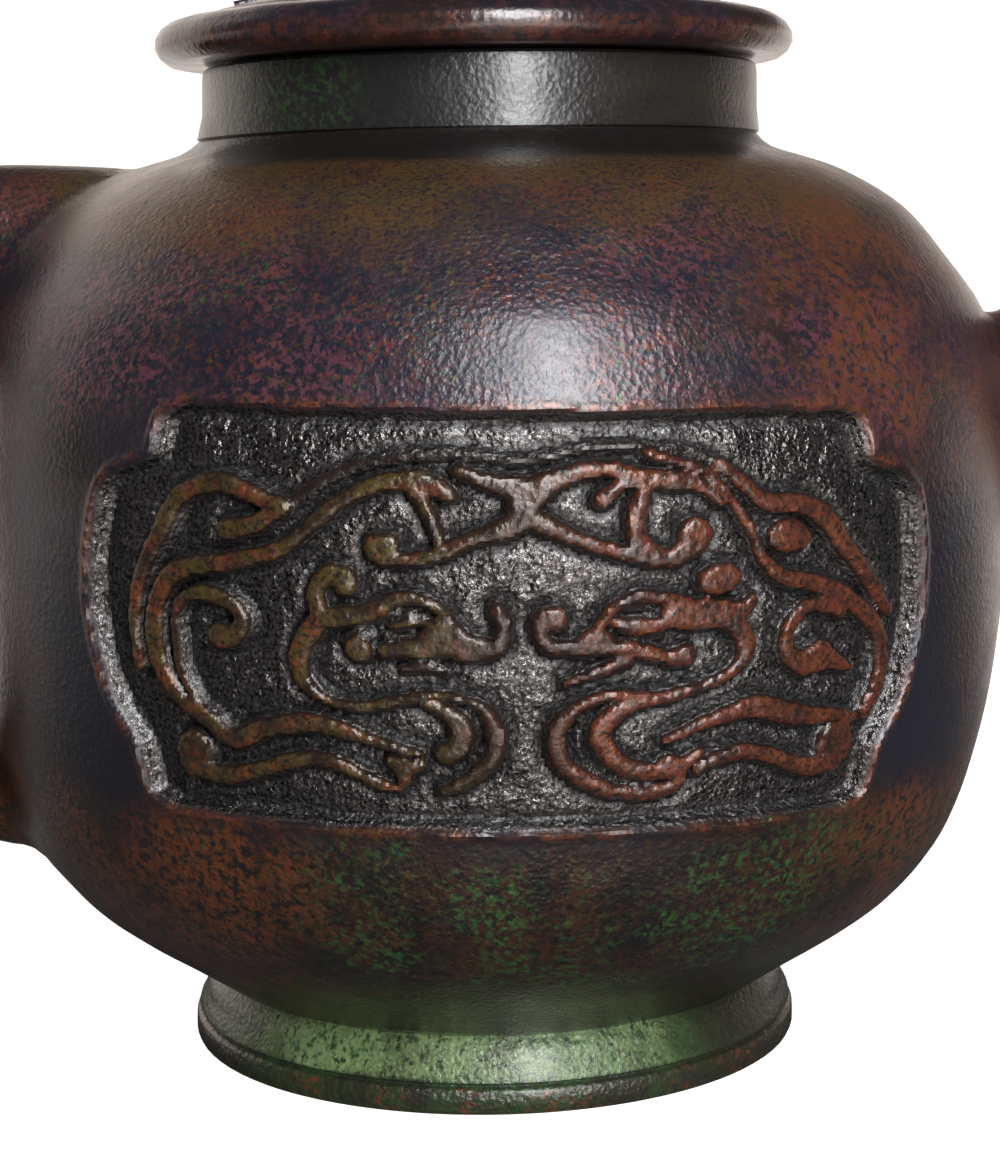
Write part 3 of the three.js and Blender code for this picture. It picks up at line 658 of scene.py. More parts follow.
def shell_rings(sizes):
    """Rings of the outer skin: plain rows with few columns, panel rows with many."""
    step = sizes.fine_step / MM
    angles = column_angles(step)
    rings = []
    few = angles[::COARSE]
    for outline, turn in zip(shell_rows(belly_profile(), step), (few, angles, few)):
        plain = turned_rings(outline, turn).reshape(-1, 3)
        shift = root_swell(plain, sizes)
        for back, centre in ((False, 0.0), (True, math.pi)):
            places, inside = panel_places(plain, centre)
            shift[inside] += panel_fields(places, sizes, back)[0]
        rings.extend(turned_rings(outline, turn, shift.reshape(len(outline), len(turn))))
    return rings


def panel_places(points, centre):
    """Places across and up the belly for the points that lie over one panel."""
    turn = np.arctan2(points[:, 0], -points[:, 1])
    across = ((turn - centre + math.pi) % (2.0 * math.pi) - math.pi) * BELLY_RADIUS
    inside = (np.abs(across) < PANEL_REACH) & (points[:, 2] >= PANEL_LOW) & (points[:, 2] <= PANEL_HIGH)
    return np.column_stack([across[inside], points[inside, 2]]), inside


def body_solid(sizes):
    """The vessel with its panels, arms and hollow as one closed mesh."""
    body = ring_solid(PIECE_BODY, shell_rings(sizes))
    boolean(body, ring_solid("handle_arm", arm_rings(HANDLE)), "UNION")
    boolean(body, ring_solid("spout_arm", arm_rings(SPOUT)), "UNION")
    boolean(body, hollow_solid(), "DIFFERENCE")
    boolean(body, foot_recess_solid(), "DIFFERENCE")
    boolean(body, ring_solid("spout_channel", arm_rings(SPOUT, SPOUT_WALL, SPOUT_MOUTH_RUN)), "DIFFERENCE")
    return body


def hollow_solid():
    """The empty space inside the vessel."""
    belly = spline(BELLY_OUTLINE, 3)
    tangent = np.gradient(belly, axis=0)
    tangent /= np.linalg.norm(tangent, axis=1, keepdims=True)
    inside = belly + WALL * np.column_stack([-tangent[:, 1], tangent[:, 0]])
    neck_hole = NECK_OUTLINE[-1][0] - WALL
    inside = inside[(inside[:, 1] > FLOOR_TOP + 1.0) & (inside[:, 0] > neck_hole)]
    floor = [(FLOOR_HUB, FLOOR_TOP), (inside[0, 0] - FLOOR_CORNER, FLOOR_TOP)]
    neck = [
        (neck_hole, MOUTH_LOW), (neck_hole, NECK_TOP - 0.4), (neck_hole + MOUTH_FLARE, NECK_TOP + 1.0)]
    return ring_solid("hollow", turned_rings(np.vstack([floor, inside, neck]), even_angles()))


def foot_recess_solid():
    """The shallow recess inside the foot ring."""
    outline = [(FOOT_INNER_RADIUS - inwards, height) for inwards, height in RECESS_EDGE]
    outline.append((FLOOR_HUB, FOOT_RECESS))
    return ring_solid("recess", turned_rings(np.array(outline), even_angles()))


def even_angles():
    """Even angles round the axis for the plain turned solids."""
    return np.linspace(0.0, 2.0 * math.pi, TURNED_SIDES, endpoint=False)


def mesh_points(mesh):
    """Points of a mesh in millimetres."""
    points = np.empty(len(mesh.vertices) * 3)
    mesh.vertices.foreach_get("co", points)
    return points.reshape(-1, 3) / MM


def outside_skin(points):
    """How far points lie outside the plain turned skin of the vessel."""
    outline = belly_profile()
    return np.hypot(points[:, 0], points[:, 1]) - np.interp(points[:, 2], outline[:, 1], outline[:, 0])


def soften_roots(body, sizes):
    """Rounds the crease where handle and spout leave the belly."""
    mesh = body.data
    points = mesh_points(mesh)
    outside = outside_skin(points)
    crease = (outside > ROOT_SKIN) & (outside < ROOT_HEIGHT * sizes.root_fillet / MM)
    crease &= np.abs(points[:, 0]) > ROOT_SIDE
    arms = [np.abs(arm_distance(points, stations)) for stations in (HANDLE, SPOUT)]
    close = np.minimum(*arms) < ROOT_REACH
    work = bmesh.new()
    work.from_mesh(mesh)
    work.verts.ensure_lookup_table()
    chosen = [work.verts[i] for i in np.flatnonzero(crease & close)]
    for _ in range(ROOT_ROUNDS):
        bmesh.ops.smooth_vert(
            work, verts=chosen, factor=0.5, use_axis_x=True, use_axis_y=True, use_axis_z=True)
    work.to_mesh(mesh)
    work.free()


def mark_panels(body, sizes):
    """Stores where the metal is raised, sunk, on a panel's edge or in a crease, for the patina, which paints
    shade lines along the creases.
    """
    mesh = body.data
    points = mesh_points(mesh)
    masks = {name: np.zeros(len(points)) for name in PANEL_MASKS}
    outer = outside_skin(points) > -WALL * 0.8
    for back, centre in ((False, 0.0), (True, math.pi)):
        inside = panel_places(points, centre)[1] & outer
        fields = panel_fields(panel_places(points[inside], centre)[0], sizes, back)[1]
        for name, values in fields.items():
            masks[name][inside] = values
    for name, values in masks.items():
        layer = mesh.attributes.new(name, "FLOAT", "POINT")
        layer.data.foreach_set("value", values.astype(np.float32))


def add_node(tree, kind, inputs=None, **settings):
    """A node with its settings, and its inputs set to values or linked to sockets."""
    node = tree.nodes.new(kind)
    for key, value in settings.items():
        setattr(node, key, value)
    for key, value in (inputs or {}).items():
        if isinstance(value, bpy.types.NodeSocket):
            tree.links.new(value, node.inputs[key])
        else:
            node.inputs[key].default_value = value
    return node


def math_node(tree, operation, first, second=0.0):
    """Result of an arithmetic step on one or two values."""
    return add_node(tree, "ShaderNodeMath", {0: first, 1: second}, operation=operation).outputs[0]


def product(tree, *masks):
    """Product of masks or numbers."""
    result = masks[0]
    for mask in masks[1:]:
        result = math_node(tree, "MULTIPLY", result, mask)
    return result


def fade(tree, value, start, end):
    """0 up to the start and 1 from the end on, with a soft change between."""
    return add_node(tree, "ShaderNodeMapRange", {"Value": value, "From Min": start, "From Max": end},
                    interpolation_type="SMOOTHSTEP").outputs[0]


def between(tree, share, low, high):
    """A share turned into a value between two levels."""
    return add_node(tree, "ShaderNodeMapRange", {"Value": share, "To Min": low, "To Max": high}).outputs[0]


def mix_colour(tree, share, first, second):
    """Colour between two, by share."""
    node = add_node(tree, "ShaderNodeMix", {"Factor": share}, data_type="RGBA")
    for socket, value in ((node.inputs[6], first), (node.inputs[7], second)):
        if isinstance(value, bpy.types.NodeSocket):
            tree.links.new(value, socket)
        else:
            socket.default_value = value
    return node.outputs[2]


def new_group(name, inputs, outputs):
    """An empty shader group with float or vector inputs and float outputs."""
    group = bpy.data.node_groups.new(name, "ShaderNodeTree")
    for label, kind, default in inputs:
        socket = group.interface.new_socket(label, in_out="INPUT", socket_type=kind)
        if default is not None:
            socket.default_value = default
    for label in outputs:
        group.interface.new_socket(label, in_out="OUTPUT", socket_type="NodeSocketFloat")
    return group, group.nodes.new("NodeGroupInput"), group.nodes.new("NodeGroupOutput")


def patch_group():
    """Blotches of patina: soft-edged patches of a noise."""
    group, given, result = new_group(
        PATCHES,
        [("Vector", "NodeSocketVector", None), ("Scale", "NodeSocketFloat", 60.0),
         ("Cover", "NodeSocketFloat", 0.5), ("Blur", "NodeSocketFloat", 0.1)], ["Mask"])
    blotches = add_node(group, "ShaderNodeTexNoise", {
        "Vector": given.outputs["Vector"], "Scale": given.outputs["Scale"],
        "Detail": 5.0, "Roughness": 0.68}).outputs[0]
    full_range = add_node(group, "ShaderNodeMapRange", {
        "Value": blotches, "From Min": 0.28, "From Max": 0.72}).outputs[0]
    start = math_node(group, "SUBTRACT", 1.0, given.outputs["Cover"])
    low = math_node(group, "SUBTRACT", start, given.outputs["Blur"])
    high = math_node(group, "ADD", start, given.outputs["Blur"])
    group.links.new(fade(group, full_range, low, high), result.inputs["Mask"])
    return group


def zone_group():
    """A stretch of values between a low and a high end, with ragged ends."""
    group, given, result = new_group(
        ZONE,
        [("Vector", "NodeSocketVector", None), ("Value", "NodeSocketFloat", 0.0),
         ("Low", "NodeSocketFloat", 0.0), ("High", "NodeSocketFloat", 1.0),
         ("Blur", "NodeSocketFloat", 0.005), ("Ragged", "NodeSocketFloat", 0.01)], ["Mask"])
    waver = add_node(group, "ShaderNodeTexNoise", {
        "Vector": given.outputs["Vector"], "Scale": 55.0, "Detail": 4.0, "Roughness": 0.65}).outputs[0]
    wobble = math_node(group, "MULTIPLY", math_node(group, "SUBTRACT", waver, 0.5), given.outputs["Ragged"])
    value = math_node(group, "ADD", given.outputs["Value"], wobble)
    past = []
    for end in ("Low", "High"):
        start = math_node(group, "SUBTRACT", given.outputs[end], given.outputs["Blur"])
        stop = math_node(group, "ADD", given.outputs[end], given.outputs["Blur"])
        past.append(fade(group, value, start, stop))
    mask = math_node(group, "MULTIPLY", past[0], math_node(group, "SUBTRACT", 1.0, past[1]))
    group.links.new(mask, result.inputs["Mask"])
    return group


def grain_group():
    """Sand-cast grain: small pits and lumps."""
    group, given, result = new_group(
        GRAIN, [("Vector", "NodeSocketVector", None), ("Lump scale", "NodeSocketFloat", 900.0)], ["Height"])
    lumps = add_node(group, "ShaderNodeTexNoise", {
        "Vector": given.outputs["Vector"], "Scale": given.outputs["Lump scale"],
        "Detail": 4.0, "Roughness": 0.6}).outputs[0]
    pits = add_node(group, "ShaderNodeTexVoronoi", {
        "Vector": given.outputs["Vector"],
        "Scale": math_node(group, "MULTIPLY", given.outputs["Lump scale"], 1.3)}).outputs["Distance"]
    height = math_node(group, "ADD", math_node(group, "MULTIPLY", lumps, 0.7),
                       math_node(group, "MULTIPLY", pits, 0.3))
    group.links.new(height, result.inputs["Height"])
    return group


def shared_groups():
    """The shader groups that both bronzes use, built at the first call."""
    builders = {PATCHES: patch_group, ZONE: zone_group, GRAIN: grain_group}
    return {name: bpy.data.node_groups.get(name) or build() for name, build in builders.items()}


class Patina:
    """Builds one bronze material layer by layer."""

    def __init__(self, name, colours):
        self.groups = shared_groups()
        self.tint = {key: tuple(getattr(colours, key)) for key in COLOUR_NAMES}
        self.material = bpy.data.materials.new(name)
        self.material.use_nodes = True
        self.tree = self.material.node_tree
        self.tree.nodes.clear()
        self.place = add_node(self.tree, "ShaderNodeTexCoord").outputs["Object"]
        self.x, _, self.z = add_node(self.tree, "ShaderNodeSeparateXYZ", {0: self.place}).outputs
        self.colour = None

    def group(self, name, inputs):
        """Output of a shared group, laid out over the piece."""
        return add_node(self.tree, "ShaderNodeGroup", {"Vector": self.place, **inputs},
                        node_tree=self.groups[name]).outputs[0]

    def patches(self, scale, cover, blur):
        """Mask of patches: their number to the metre, the share they cover and the blur of their edges."""
        return self.group(PATCHES, {"Scale": scale, "Cover": cover, "Blur": blur})

    def zone(self, value, low, high, blur, ragged):
        """Mask of a stretch along one axis, sizes in millimetres."""
        return self.group(ZONE, {"Value": value, "Low": low * MM, "High": high * MM,
                                 "Blur": blur * MM, "Ragged": ragged * MM})

    def attribute(self, name):
        """A mask stored on the mesh."""
        return add_node(self.tree, "ShaderNodeAttribute", attribute_name=name).outputs["Fac"]

    def times(self, *masks):
        """Product of masks or numbers."""
        return product(self.tree, *masks)

    def less(self, mask, share=1.0):
        """One less a share of a mask."""
        return math_node(self.tree, "SUBTRACT", 1.0, self.times(mask, share))

    def larger(self, first, second):
        """The larger of two masks."""
        return math_node(self.tree, "MAXIMUM", first, second)

    def plus(self, first, second):
        """Sum of two masks or numbers."""
        return math_node(self.tree, "ADD", first, second)

    def ramp(self, value, low, high):
        """A value stretched softly between two levels."""
        return fade(self.tree, value, low, high)

    def mixed(self, share, first, second):
        """Colour between two, by share."""
        return mix_colour(self.tree, share, first, second)

    def lay(self, name, *masks):
        """Lays a colour over what is there, by the product of masks."""
        self.colour = self.mixed(self.times(*masks), self.colour, self.tint[name])

    def finish(self, height, grain_depth, **shading):
        """Shader and output."""
        bump = add_node(self.tree, "ShaderNodeBump", {"Height": height, "Distance": grain_depth})
        inputs = {"Base Color": self.colour, "Normal": bump.outputs[0], "Metallic": 0.25,
                  "Coat Weight": 0.2, "Coat Roughness": 0.22}
        inputs.update(shading)
        shader = add_node(self.tree, "ShaderNodeBsdfPrincipled", inputs)
        add_node(self.tree, "ShaderNodeOutputMaterial", {"Surface": shader.outputs[0]})
        return self.material


def body_masks(p):
    """Specks, zones and panel masks of the vessel that several layers share."""
    masks = SimpleNamespace(
        flecks=p.patches(1150.0, 0.44, 0.10),
        crumbs=p.patches(2300.0, 0.56, 0.22),
        upper=p.zone(p.z, 76, 101, 4, 18),
        lower=p.zone(p.z, 9, 35.5, 4, 16),
        near_neck=p.zone(p.x, -50, 50, 3, 6),
        foot=p.zone(p.z, -5, 8.6, 0.8, 1.5),
        crease=p.attribute("crease"),
        rim=p.attribute("rim"))
    sunk = p.attribute("sunk")
    raised = p.attribute("raised")
    masks.inner = p.ramp(sunk, 0.05, 0.45)
    masks.high = p.ramp(raised, 0.35, 0.6)
    masks.worn = p.ramp(raised, 0.6, 0.85)
    # Creases get no bare grey specks and keep the black: painted shade lines round the bands and the border
    masks.bare = p.times(p.ramp(sunk, 0.1, 0.55), p.less(masks.high), p.less(masks.crease))
    return masks


def belly_patina(p, masks):
    """Umber and navy with red, ochre and green specks above the panels and brown towards the neck."""
    p.colour = p.mixed(p.patches(38.0, 0.5, 0.3), p.tint["umber"], p.tint["navy"])
    upper = masks.upper
    p.lay("navy", upper, p.patches(42.0, 0.75, 0.2))
    centre = p.zone(p.x, -18, 8, 6, 10)
    p.lay("crimson", upper, p.patches(60.0, 0.5, 0.3), masks.flecks, p.less(centre, 0.6), 0.7)
    p.lay("terracotta", upper, p.patches(75.0, 0.44, 0.25), p.patches(1500.0, 0.36, 0.1), 0.9)
    p.lay("ochre", upper, p.patches(90.0, 0.4, 0.25), p.patches(1300.0, 0.3, 0.1))
    p.lay("verdigris", upper, p.patches(80.0, 0.36, 0.25), p.patches(1700.0, 0.3, 0.1), 0.8)
    shoulder = p.times(p.zone(p.z, 95, 106, 4, 14), masks.near_neck)
    p.lay("rust", shoulder, p.patches(55.0, 0.62, 0.3), masks.crumbs, 0.85)
    p.lay("ochre", shoulder, p.patches(70.0, 0.58, 0.3), masks.crumbs, 0.9)
    right_cheek = p.times(p.zone(p.x, 24, 64, 6, 18), p.zone(p.z, 70, 100, 6, 14))
    p.lay("rust", right_cheek, p.patches(80.0, 0.52, 0.3), p.patches(1100.0, 0.55, 0.2), 0.8)
    p.lay("rust", p.less(masks.near_neck), p.patches(60.0, 0.55, 0.3), masks.crumbs, 0.5)


def lower_belly_patina(p, masks):
    """Dark below the panels, with rust towards the flanks and green in the middle."""
    lower = masks.lower
    p.lay("umber", lower, 0.6)
    p.lay("soot_and_shade", lower, p.patches(95.0, 0.56, 0.2), 0.85)
    middle = p.zone(p.x, -20, 34, 6, 22)
    p.lay("rust", lower, p.less(middle, 0.7), p.patches(70.0, 0.6, 0.25), p.patches(1000.0, 0.55, 0.12))
    p.lay("ochre", lower, p.patches(85.0, 0.4, 0.2), p.patches(1300.0, 0.36, 0.1))
    p.lay("verdigris", lower, middle, p.patches(75.0, 0.5, 0.25), p.patches(1200.0, 0.42, 0.12))


def neck_patina(p, masks):
    """Grey black, with green flecks on the left, a warmer right and painted shade in the hollow below."""
    neck = p.times(p.zone(p.z, 106.3, 130, 0.2, 0.3), masks.near_neck)
    p.lay("slate", neck)
    p.lay("verdigris", neck, p.zone(p.x, -40, -14, 4, 12), p.patches(1300.0, 0.4, 0.15), 0.5)
    p.lay("ochre", neck, p.zone(p.x, 10, 40, 6, 12), masks.crumbs, 0.2)
    # Painted shade: the hollow between the neck and the shoulder is laid near black
    p.lay("soot_and_shade", p.zone(p.z, 102.9, 106.4, 0.5, 2.0), masks.near_neck, 0.92)


def foot_patina(p, masks):
    """Green on the foot's upper slope in front, paler there as painted light, browner towards its ends and
    its lower edge, with painted shade in its groove.
    """
    foot = masks.foot
    p.lay("olive", foot)
    front = p.zone(p.x, -36, 20, 10, 24)
    p.lay("verdigris", foot, front, p.patches(110.0, 0.62, 0.25), p.patches(1000.0, 0.62, 0.2))
    slope = p.zone(p.z, 3.7, 8.6, 0.3, 1.5)
    # Partly painted light: the front of the upward slope is laid pale green over the real green patina, as
    # if lit
    bright = p.times(slope, p.zone(p.x, -30, 16, 8, 20), p.patches(130.0, 0.66, 0.3))
    p.lay("leaf", bright, p.patches(1200.0, 0.62, 0.15))
    p.lay("umber", slope, p.patches(190.0, 0.42, 0.25), masks.crumbs, 0.7)
    lower_edge = p.zone(p.z, -1, 3.0, 0.4, 1.0)
    p.lay("umber", lower_edge, 0.55)
    p.lay("rust", lower_edge, p.patches(120.0, 0.4, 0.2), masks.flecks)
    # Painted shade: a soft dark line laid along the foot's groove
    p.lay("soot_and_shade", p.zone(p.z, 2.9, 3.7, 0.2, 0.4), 0.4)


def panel_patina(p, masks):
    """Dark ground, bare grey specks and worn bands, with painted shade lines in the creases. Gives back the
    mask of the bands' colour.
    """
    p.lay("soot_and_shade", masks.inner, 0.95)
    p.lay("steel", masks.bare, p.patches(2600.0, 0.5, 0.3))
    p.lay("umber", masks.high, 0.9)
    right_half = add_node(p.tree, "ShaderNodeMapRange", {
        "Value": p.x, "From Min": -4 * MM, "From Max": 7 * MM}).outputs[0]
    top = p.mixed(right_half, p.tint["ochre"], p.tint["terracotta"])
    top = p.mixed(p.patches(300.0, 0.42, 0.12), top, p.tint["rust"])
    polished = p.zone(p.x, -7, 4, 5, 4)
    coloured = p.times(masks.worn, p.patches(260.0, 0.62, 0.3), p.patches(1700.0, 0.6, 0.25),
                       p.less(polished, 0.75))
    p.colour = p.mixed(coloured, p.colour, top)
    p.lay("rust", masks.rim, p.patches(190.0, 0.52, 0.2), masks.crumbs)
    return coloured


def body_material(sizes, colours):
    """Patina of the vessel: its colours, then its grain, gloss and bare metal."""
    p = Patina("patinated bronze", colours)
    masks = body_masks(p)
    for patina in (belly_patina, lower_belly_patina, neck_patina, foot_patina):
        patina(p, masks)
    coloured = panel_patina(p, masks)
    coarse = p.larger(p.larger(masks.lower, masks.foot), p.times(masks.upper, 0.3))
    cast = p.plus(masks.inner, p.plus(p.times(coarse, 0.5), 0.36))
    height = p.times(p.group(GRAIN, {"Lump scale": 1250.0}), cast, p.less(masks.high, 0.55))
    matte = p.larger(masks.crease, p.times(coloured, 0.6))
    rough = p.plus(between(p.tree, p.patches(160.0, 0.5, 0.4), 0.26, 0.36), p.times(matte, 0.1))
    shine = p.plus(p.times(masks.bare, 0.14), p.times(masks.high, 0.04))
    return p.finish(height, sizes.grain_depth, **{
        "Roughness": math_node(p.tree, "SUBTRACT", rough, shine),
        "Metallic": p.plus(p.times(masks.bare, 0.65), p.times(p.less(masks.foot), 0.25)),
        "Coat Weight": p.times(p.less(matte), 0.2)})


def lid_material(sizes, colours):
    """Patina of the lid: dark above, worn brown on the lower half of its lip."""
    p = Patina("lid bronze", colours)
    p.colour = p.mixed(p.patches(60.0, 0.5, 0.35), p.tint["umber"], p.tint["navy"])
    p.lay("crimson", p.patches(700.0, 0.36, 0.2), 0.2)
    lip = p.zone(p.z, 114.5, 117.6, 0.5, 1.5)
    p.lay("rust", lip, p.patches(90.0, 0.62, 0.3), p.patches(1100.0, 0.56, 0.2), 0.55)
    height = p.group(GRAIN, {"Lump scale": 1100.0})
    rough = between(p.tree, p.patches(160.0, 0.5, 0.4), 0.17, 0.26)
    return p.finish(height, sizes.lid_grain_depth, Roughness=rough)


def lid_tree():
    """Nodes that turn the lid's outline about the axis and lay veins round its dome."""
    tree = bpy.data.node_groups.new("Turned lid", "GeometryNodeTree")
    for label, kind in (("Outline", "Geometry"), ("Columns", "Int"), ("Veins", "Int"),
                        ("Vein radius", "Float"), ("Waver", "Float"), ("Material", "Material")):
        tree.interface.new_socket(label, in_out="INPUT", socket_type="NodeSocket" + kind)
    tree.interface.new_socket("Lid", in_out="OUTPUT", socket_type="NodeSocketGeometry")
    given = tree.nodes.new("NodeGroupInput").outputs
    outline = add_node(tree, "GeometryNodeMeshToCurve", {"Mesh": given["Outline"]}).outputs[0]
    path = add_node(tree, "GeometryNodeCurvePrimitiveCircle", {
        "Resolution": given["Columns"], "Radius": LID_PATH_RADIUS * MM}).outputs[0]
    turned = add_node(tree, "GeometryNodeCurveToMesh", {"Curve": path, "Profile Curve": outline}).outputs[0]
    merged = add_node(tree, "GeometryNodeMergeByDistance", {
        "Geometry": turned, "Distance": 0.01 * MM}).outputs[0]
    closed = add_node(tree, "GeometryNodeFlipFaces", {"Mesh": merged}).outputs[0]
    place = add_node(tree, "GeometryNodeInputPosition").outputs[0]
    height = add_node(tree, "ShaderNodeSeparateXYZ", {0: place}).outputs["Z"]
    upper = add_node(tree, "FunctionNodeCompare", {"A": height, "B": LIP_UNDERSIDE * MM}).outputs[0]
    lumps = add_node(tree, "ShaderNodeTexNoise", {"Vector": place, "Scale": 95.0, "Detail": 2.0}).outputs[0]
    rise = math_node(tree, "MULTIPLY", math_node(tree, "SUBTRACT", lumps, 0.5), given["Waver"])
    outward = add_node(tree, "GeometryNodeInputNormal").outputs[0]
    push = add_node(tree, "ShaderNodeVectorMath", {0: outward, "Scale": rise}, operation="SCALE").outputs[0]
    uneven = add_node(tree, "GeometryNodeSetPosition", {
        "Geometry": closed, "Selection": upper, "Offset": push}).outputs[0]
    spine = add_node(tree, "GeometryNodeCurveQuadraticBezier", {
        "Resolution": 12, "Start": Vector(VEIN_START) * MM, "Middle": Vector(VEIN_MIDDLE) * MM,
        "End": Vector(VEIN_END) * MM}).outputs[0]
    round_section = add_node(tree, "GeometryNodeCurvePrimitiveCircle", {
        "Resolution": 10, "Radius": given["Vein radius"]}).outputs[0]
    vein = add_node(tree, "GeometryNodeCurveToMesh", {
        "Curve": spine, "Profile Curve": round_section, "Fill Caps": True}).outputs[0]
    points = add_node(tree, "GeometryNodePoints", {"Count": given["Veins"]}).outputs[0]
    index = add_node(tree, "GeometryNodeInputIndex").outputs[0]
    turn = math_node(tree, "DIVIDE", math_node(tree, "MULTIPLY", index, 2.0 * math.pi), given["Veins"])
    euler = add_node(tree, "ShaderNodeCombineXYZ", {"Z": turn}).outputs[0]
    rotation = add_node(tree, "FunctionNodeEulerToRotation", {0: euler}).outputs[0]
    veins = add_node(tree, "GeometryNodeInstanceOnPoints", {
        "Points": points, "Instance": vein, "Rotation": rotation}).outputs[0]
    real_veins = add_node(tree, "GeometryNodeRealizeInstances", {"Geometry": veins}).outputs[0]
    union = add_node(tree, "GeometryNodeMeshBoolean", operation="UNION", solver="MANIFOLD")
    for part in (uneven, real_veins):
        tree.links.new(part, union.inputs["Mesh 2"])
    moved = add_node(tree, "GeometryNodeTransform", {
        "Geometry": union.outputs[0], "Translation": (LID_OFFSET * MM, 0.0, 0.0)}).outputs[0]
    real = add_node(tree, "GeometryNodeRealizeInstances", {"Geometry": moved}).outputs[0]
    dressed = add_node(tree, "GeometryNodeSetMaterial", {
        "Geometry": real, "Material": given["Material"]}).outputs[0]
    tree.links.new(dressed, tree.nodes.new("NodeGroupOutput").inputs["Lid"])
    return tree


def lid_solid(sizes, material):
    """The lid as a plain mesh, turned from its outline by the lid's nodes."""
    mesh = bpy.data.meshes.new(PIECE_LID)
    corners = [((radius - LID_PATH_RADIUS) * MM, -height * MM, 0.0) for radius, height in LID_OUTLINE]
    mesh.from_pydata(corners, [(i, i + 1) for i in range(len(corners) - 1)], [])
    lid = bpy.data.objects.new(PIECE_LID, mesh)
    bpy.context.scene.collection.objects.link(lid)
    tree = lid_tree()
    modifier = lid.modifiers.new("lid", "NODES")
    modifier.node_group = tree
    values = {"Columns": LID_COLUMNS, "Veins": sizes.vein_count, "Vein radius": sizes.vein_radius,
              "Waver": sizes.lid_waver, "Material": material}
    for item in tree.interface.items_tree:
        if item.in_out == "INPUT" and item.name in values:
            modifier[item.identifier] = values[item.name]
    evaluated = lid.evaluated_get(bpy.context.evaluated_depsgraph_get())
    lid.data = bpy.data.meshes.new_from_object(evaluated)
    lid.modifiers.remove(modifier)
    bpy.data.meshes.remove(mesh)
    return lid


def smooth_shade(piece):
    """Smooth shading with crisp edges past an angle."""
    piece.data.shade_smooth()
    piece.data.set_sharp_from_angle(angle=CRISP_ANGLE)


def settle(piece, node, material):
    """Gives a finished piece its material and its body, and hides the imported part of the node that it
    stands for.
    """
    piece.data.materials.clear()
    piece.data.materials.append(material)
    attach(piece, "root")
    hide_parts(node)


class EWER_OT_body(bpy.types.Operator):
    """Builds the cast vessel with its panels, handle and spout"""

    bl_idname = "ewer.body"
    bl_label = "Vessel"

    def execute(self, context):
        sizes = context.scene.ewer_sizes
        body = body_solid(sizes)
        soften_roots(body, sizes)
        mark_panels(body, sizes)
        smooth_shade(body)
        settle(body, NODE_BODY, body_material(sizes, context.scene.ewer_colours))
        return {"FINISHED"}


class EWER_OT_lid(bpy.types.Operator):
    """Builds the loose lid"""

    bl_idname = "ewer.lid"
    bl_label = "Lid"

    def execute(self, context):
        sizes = context.scene.ewer_sizes
        material = lid_material(sizes, context.scene.ewer_colours)
        lid = lid_solid(sizes, material)
        smooth_shade(lid)
        settle(lid, NODE_LID, material)
        return {"FINISHED"}


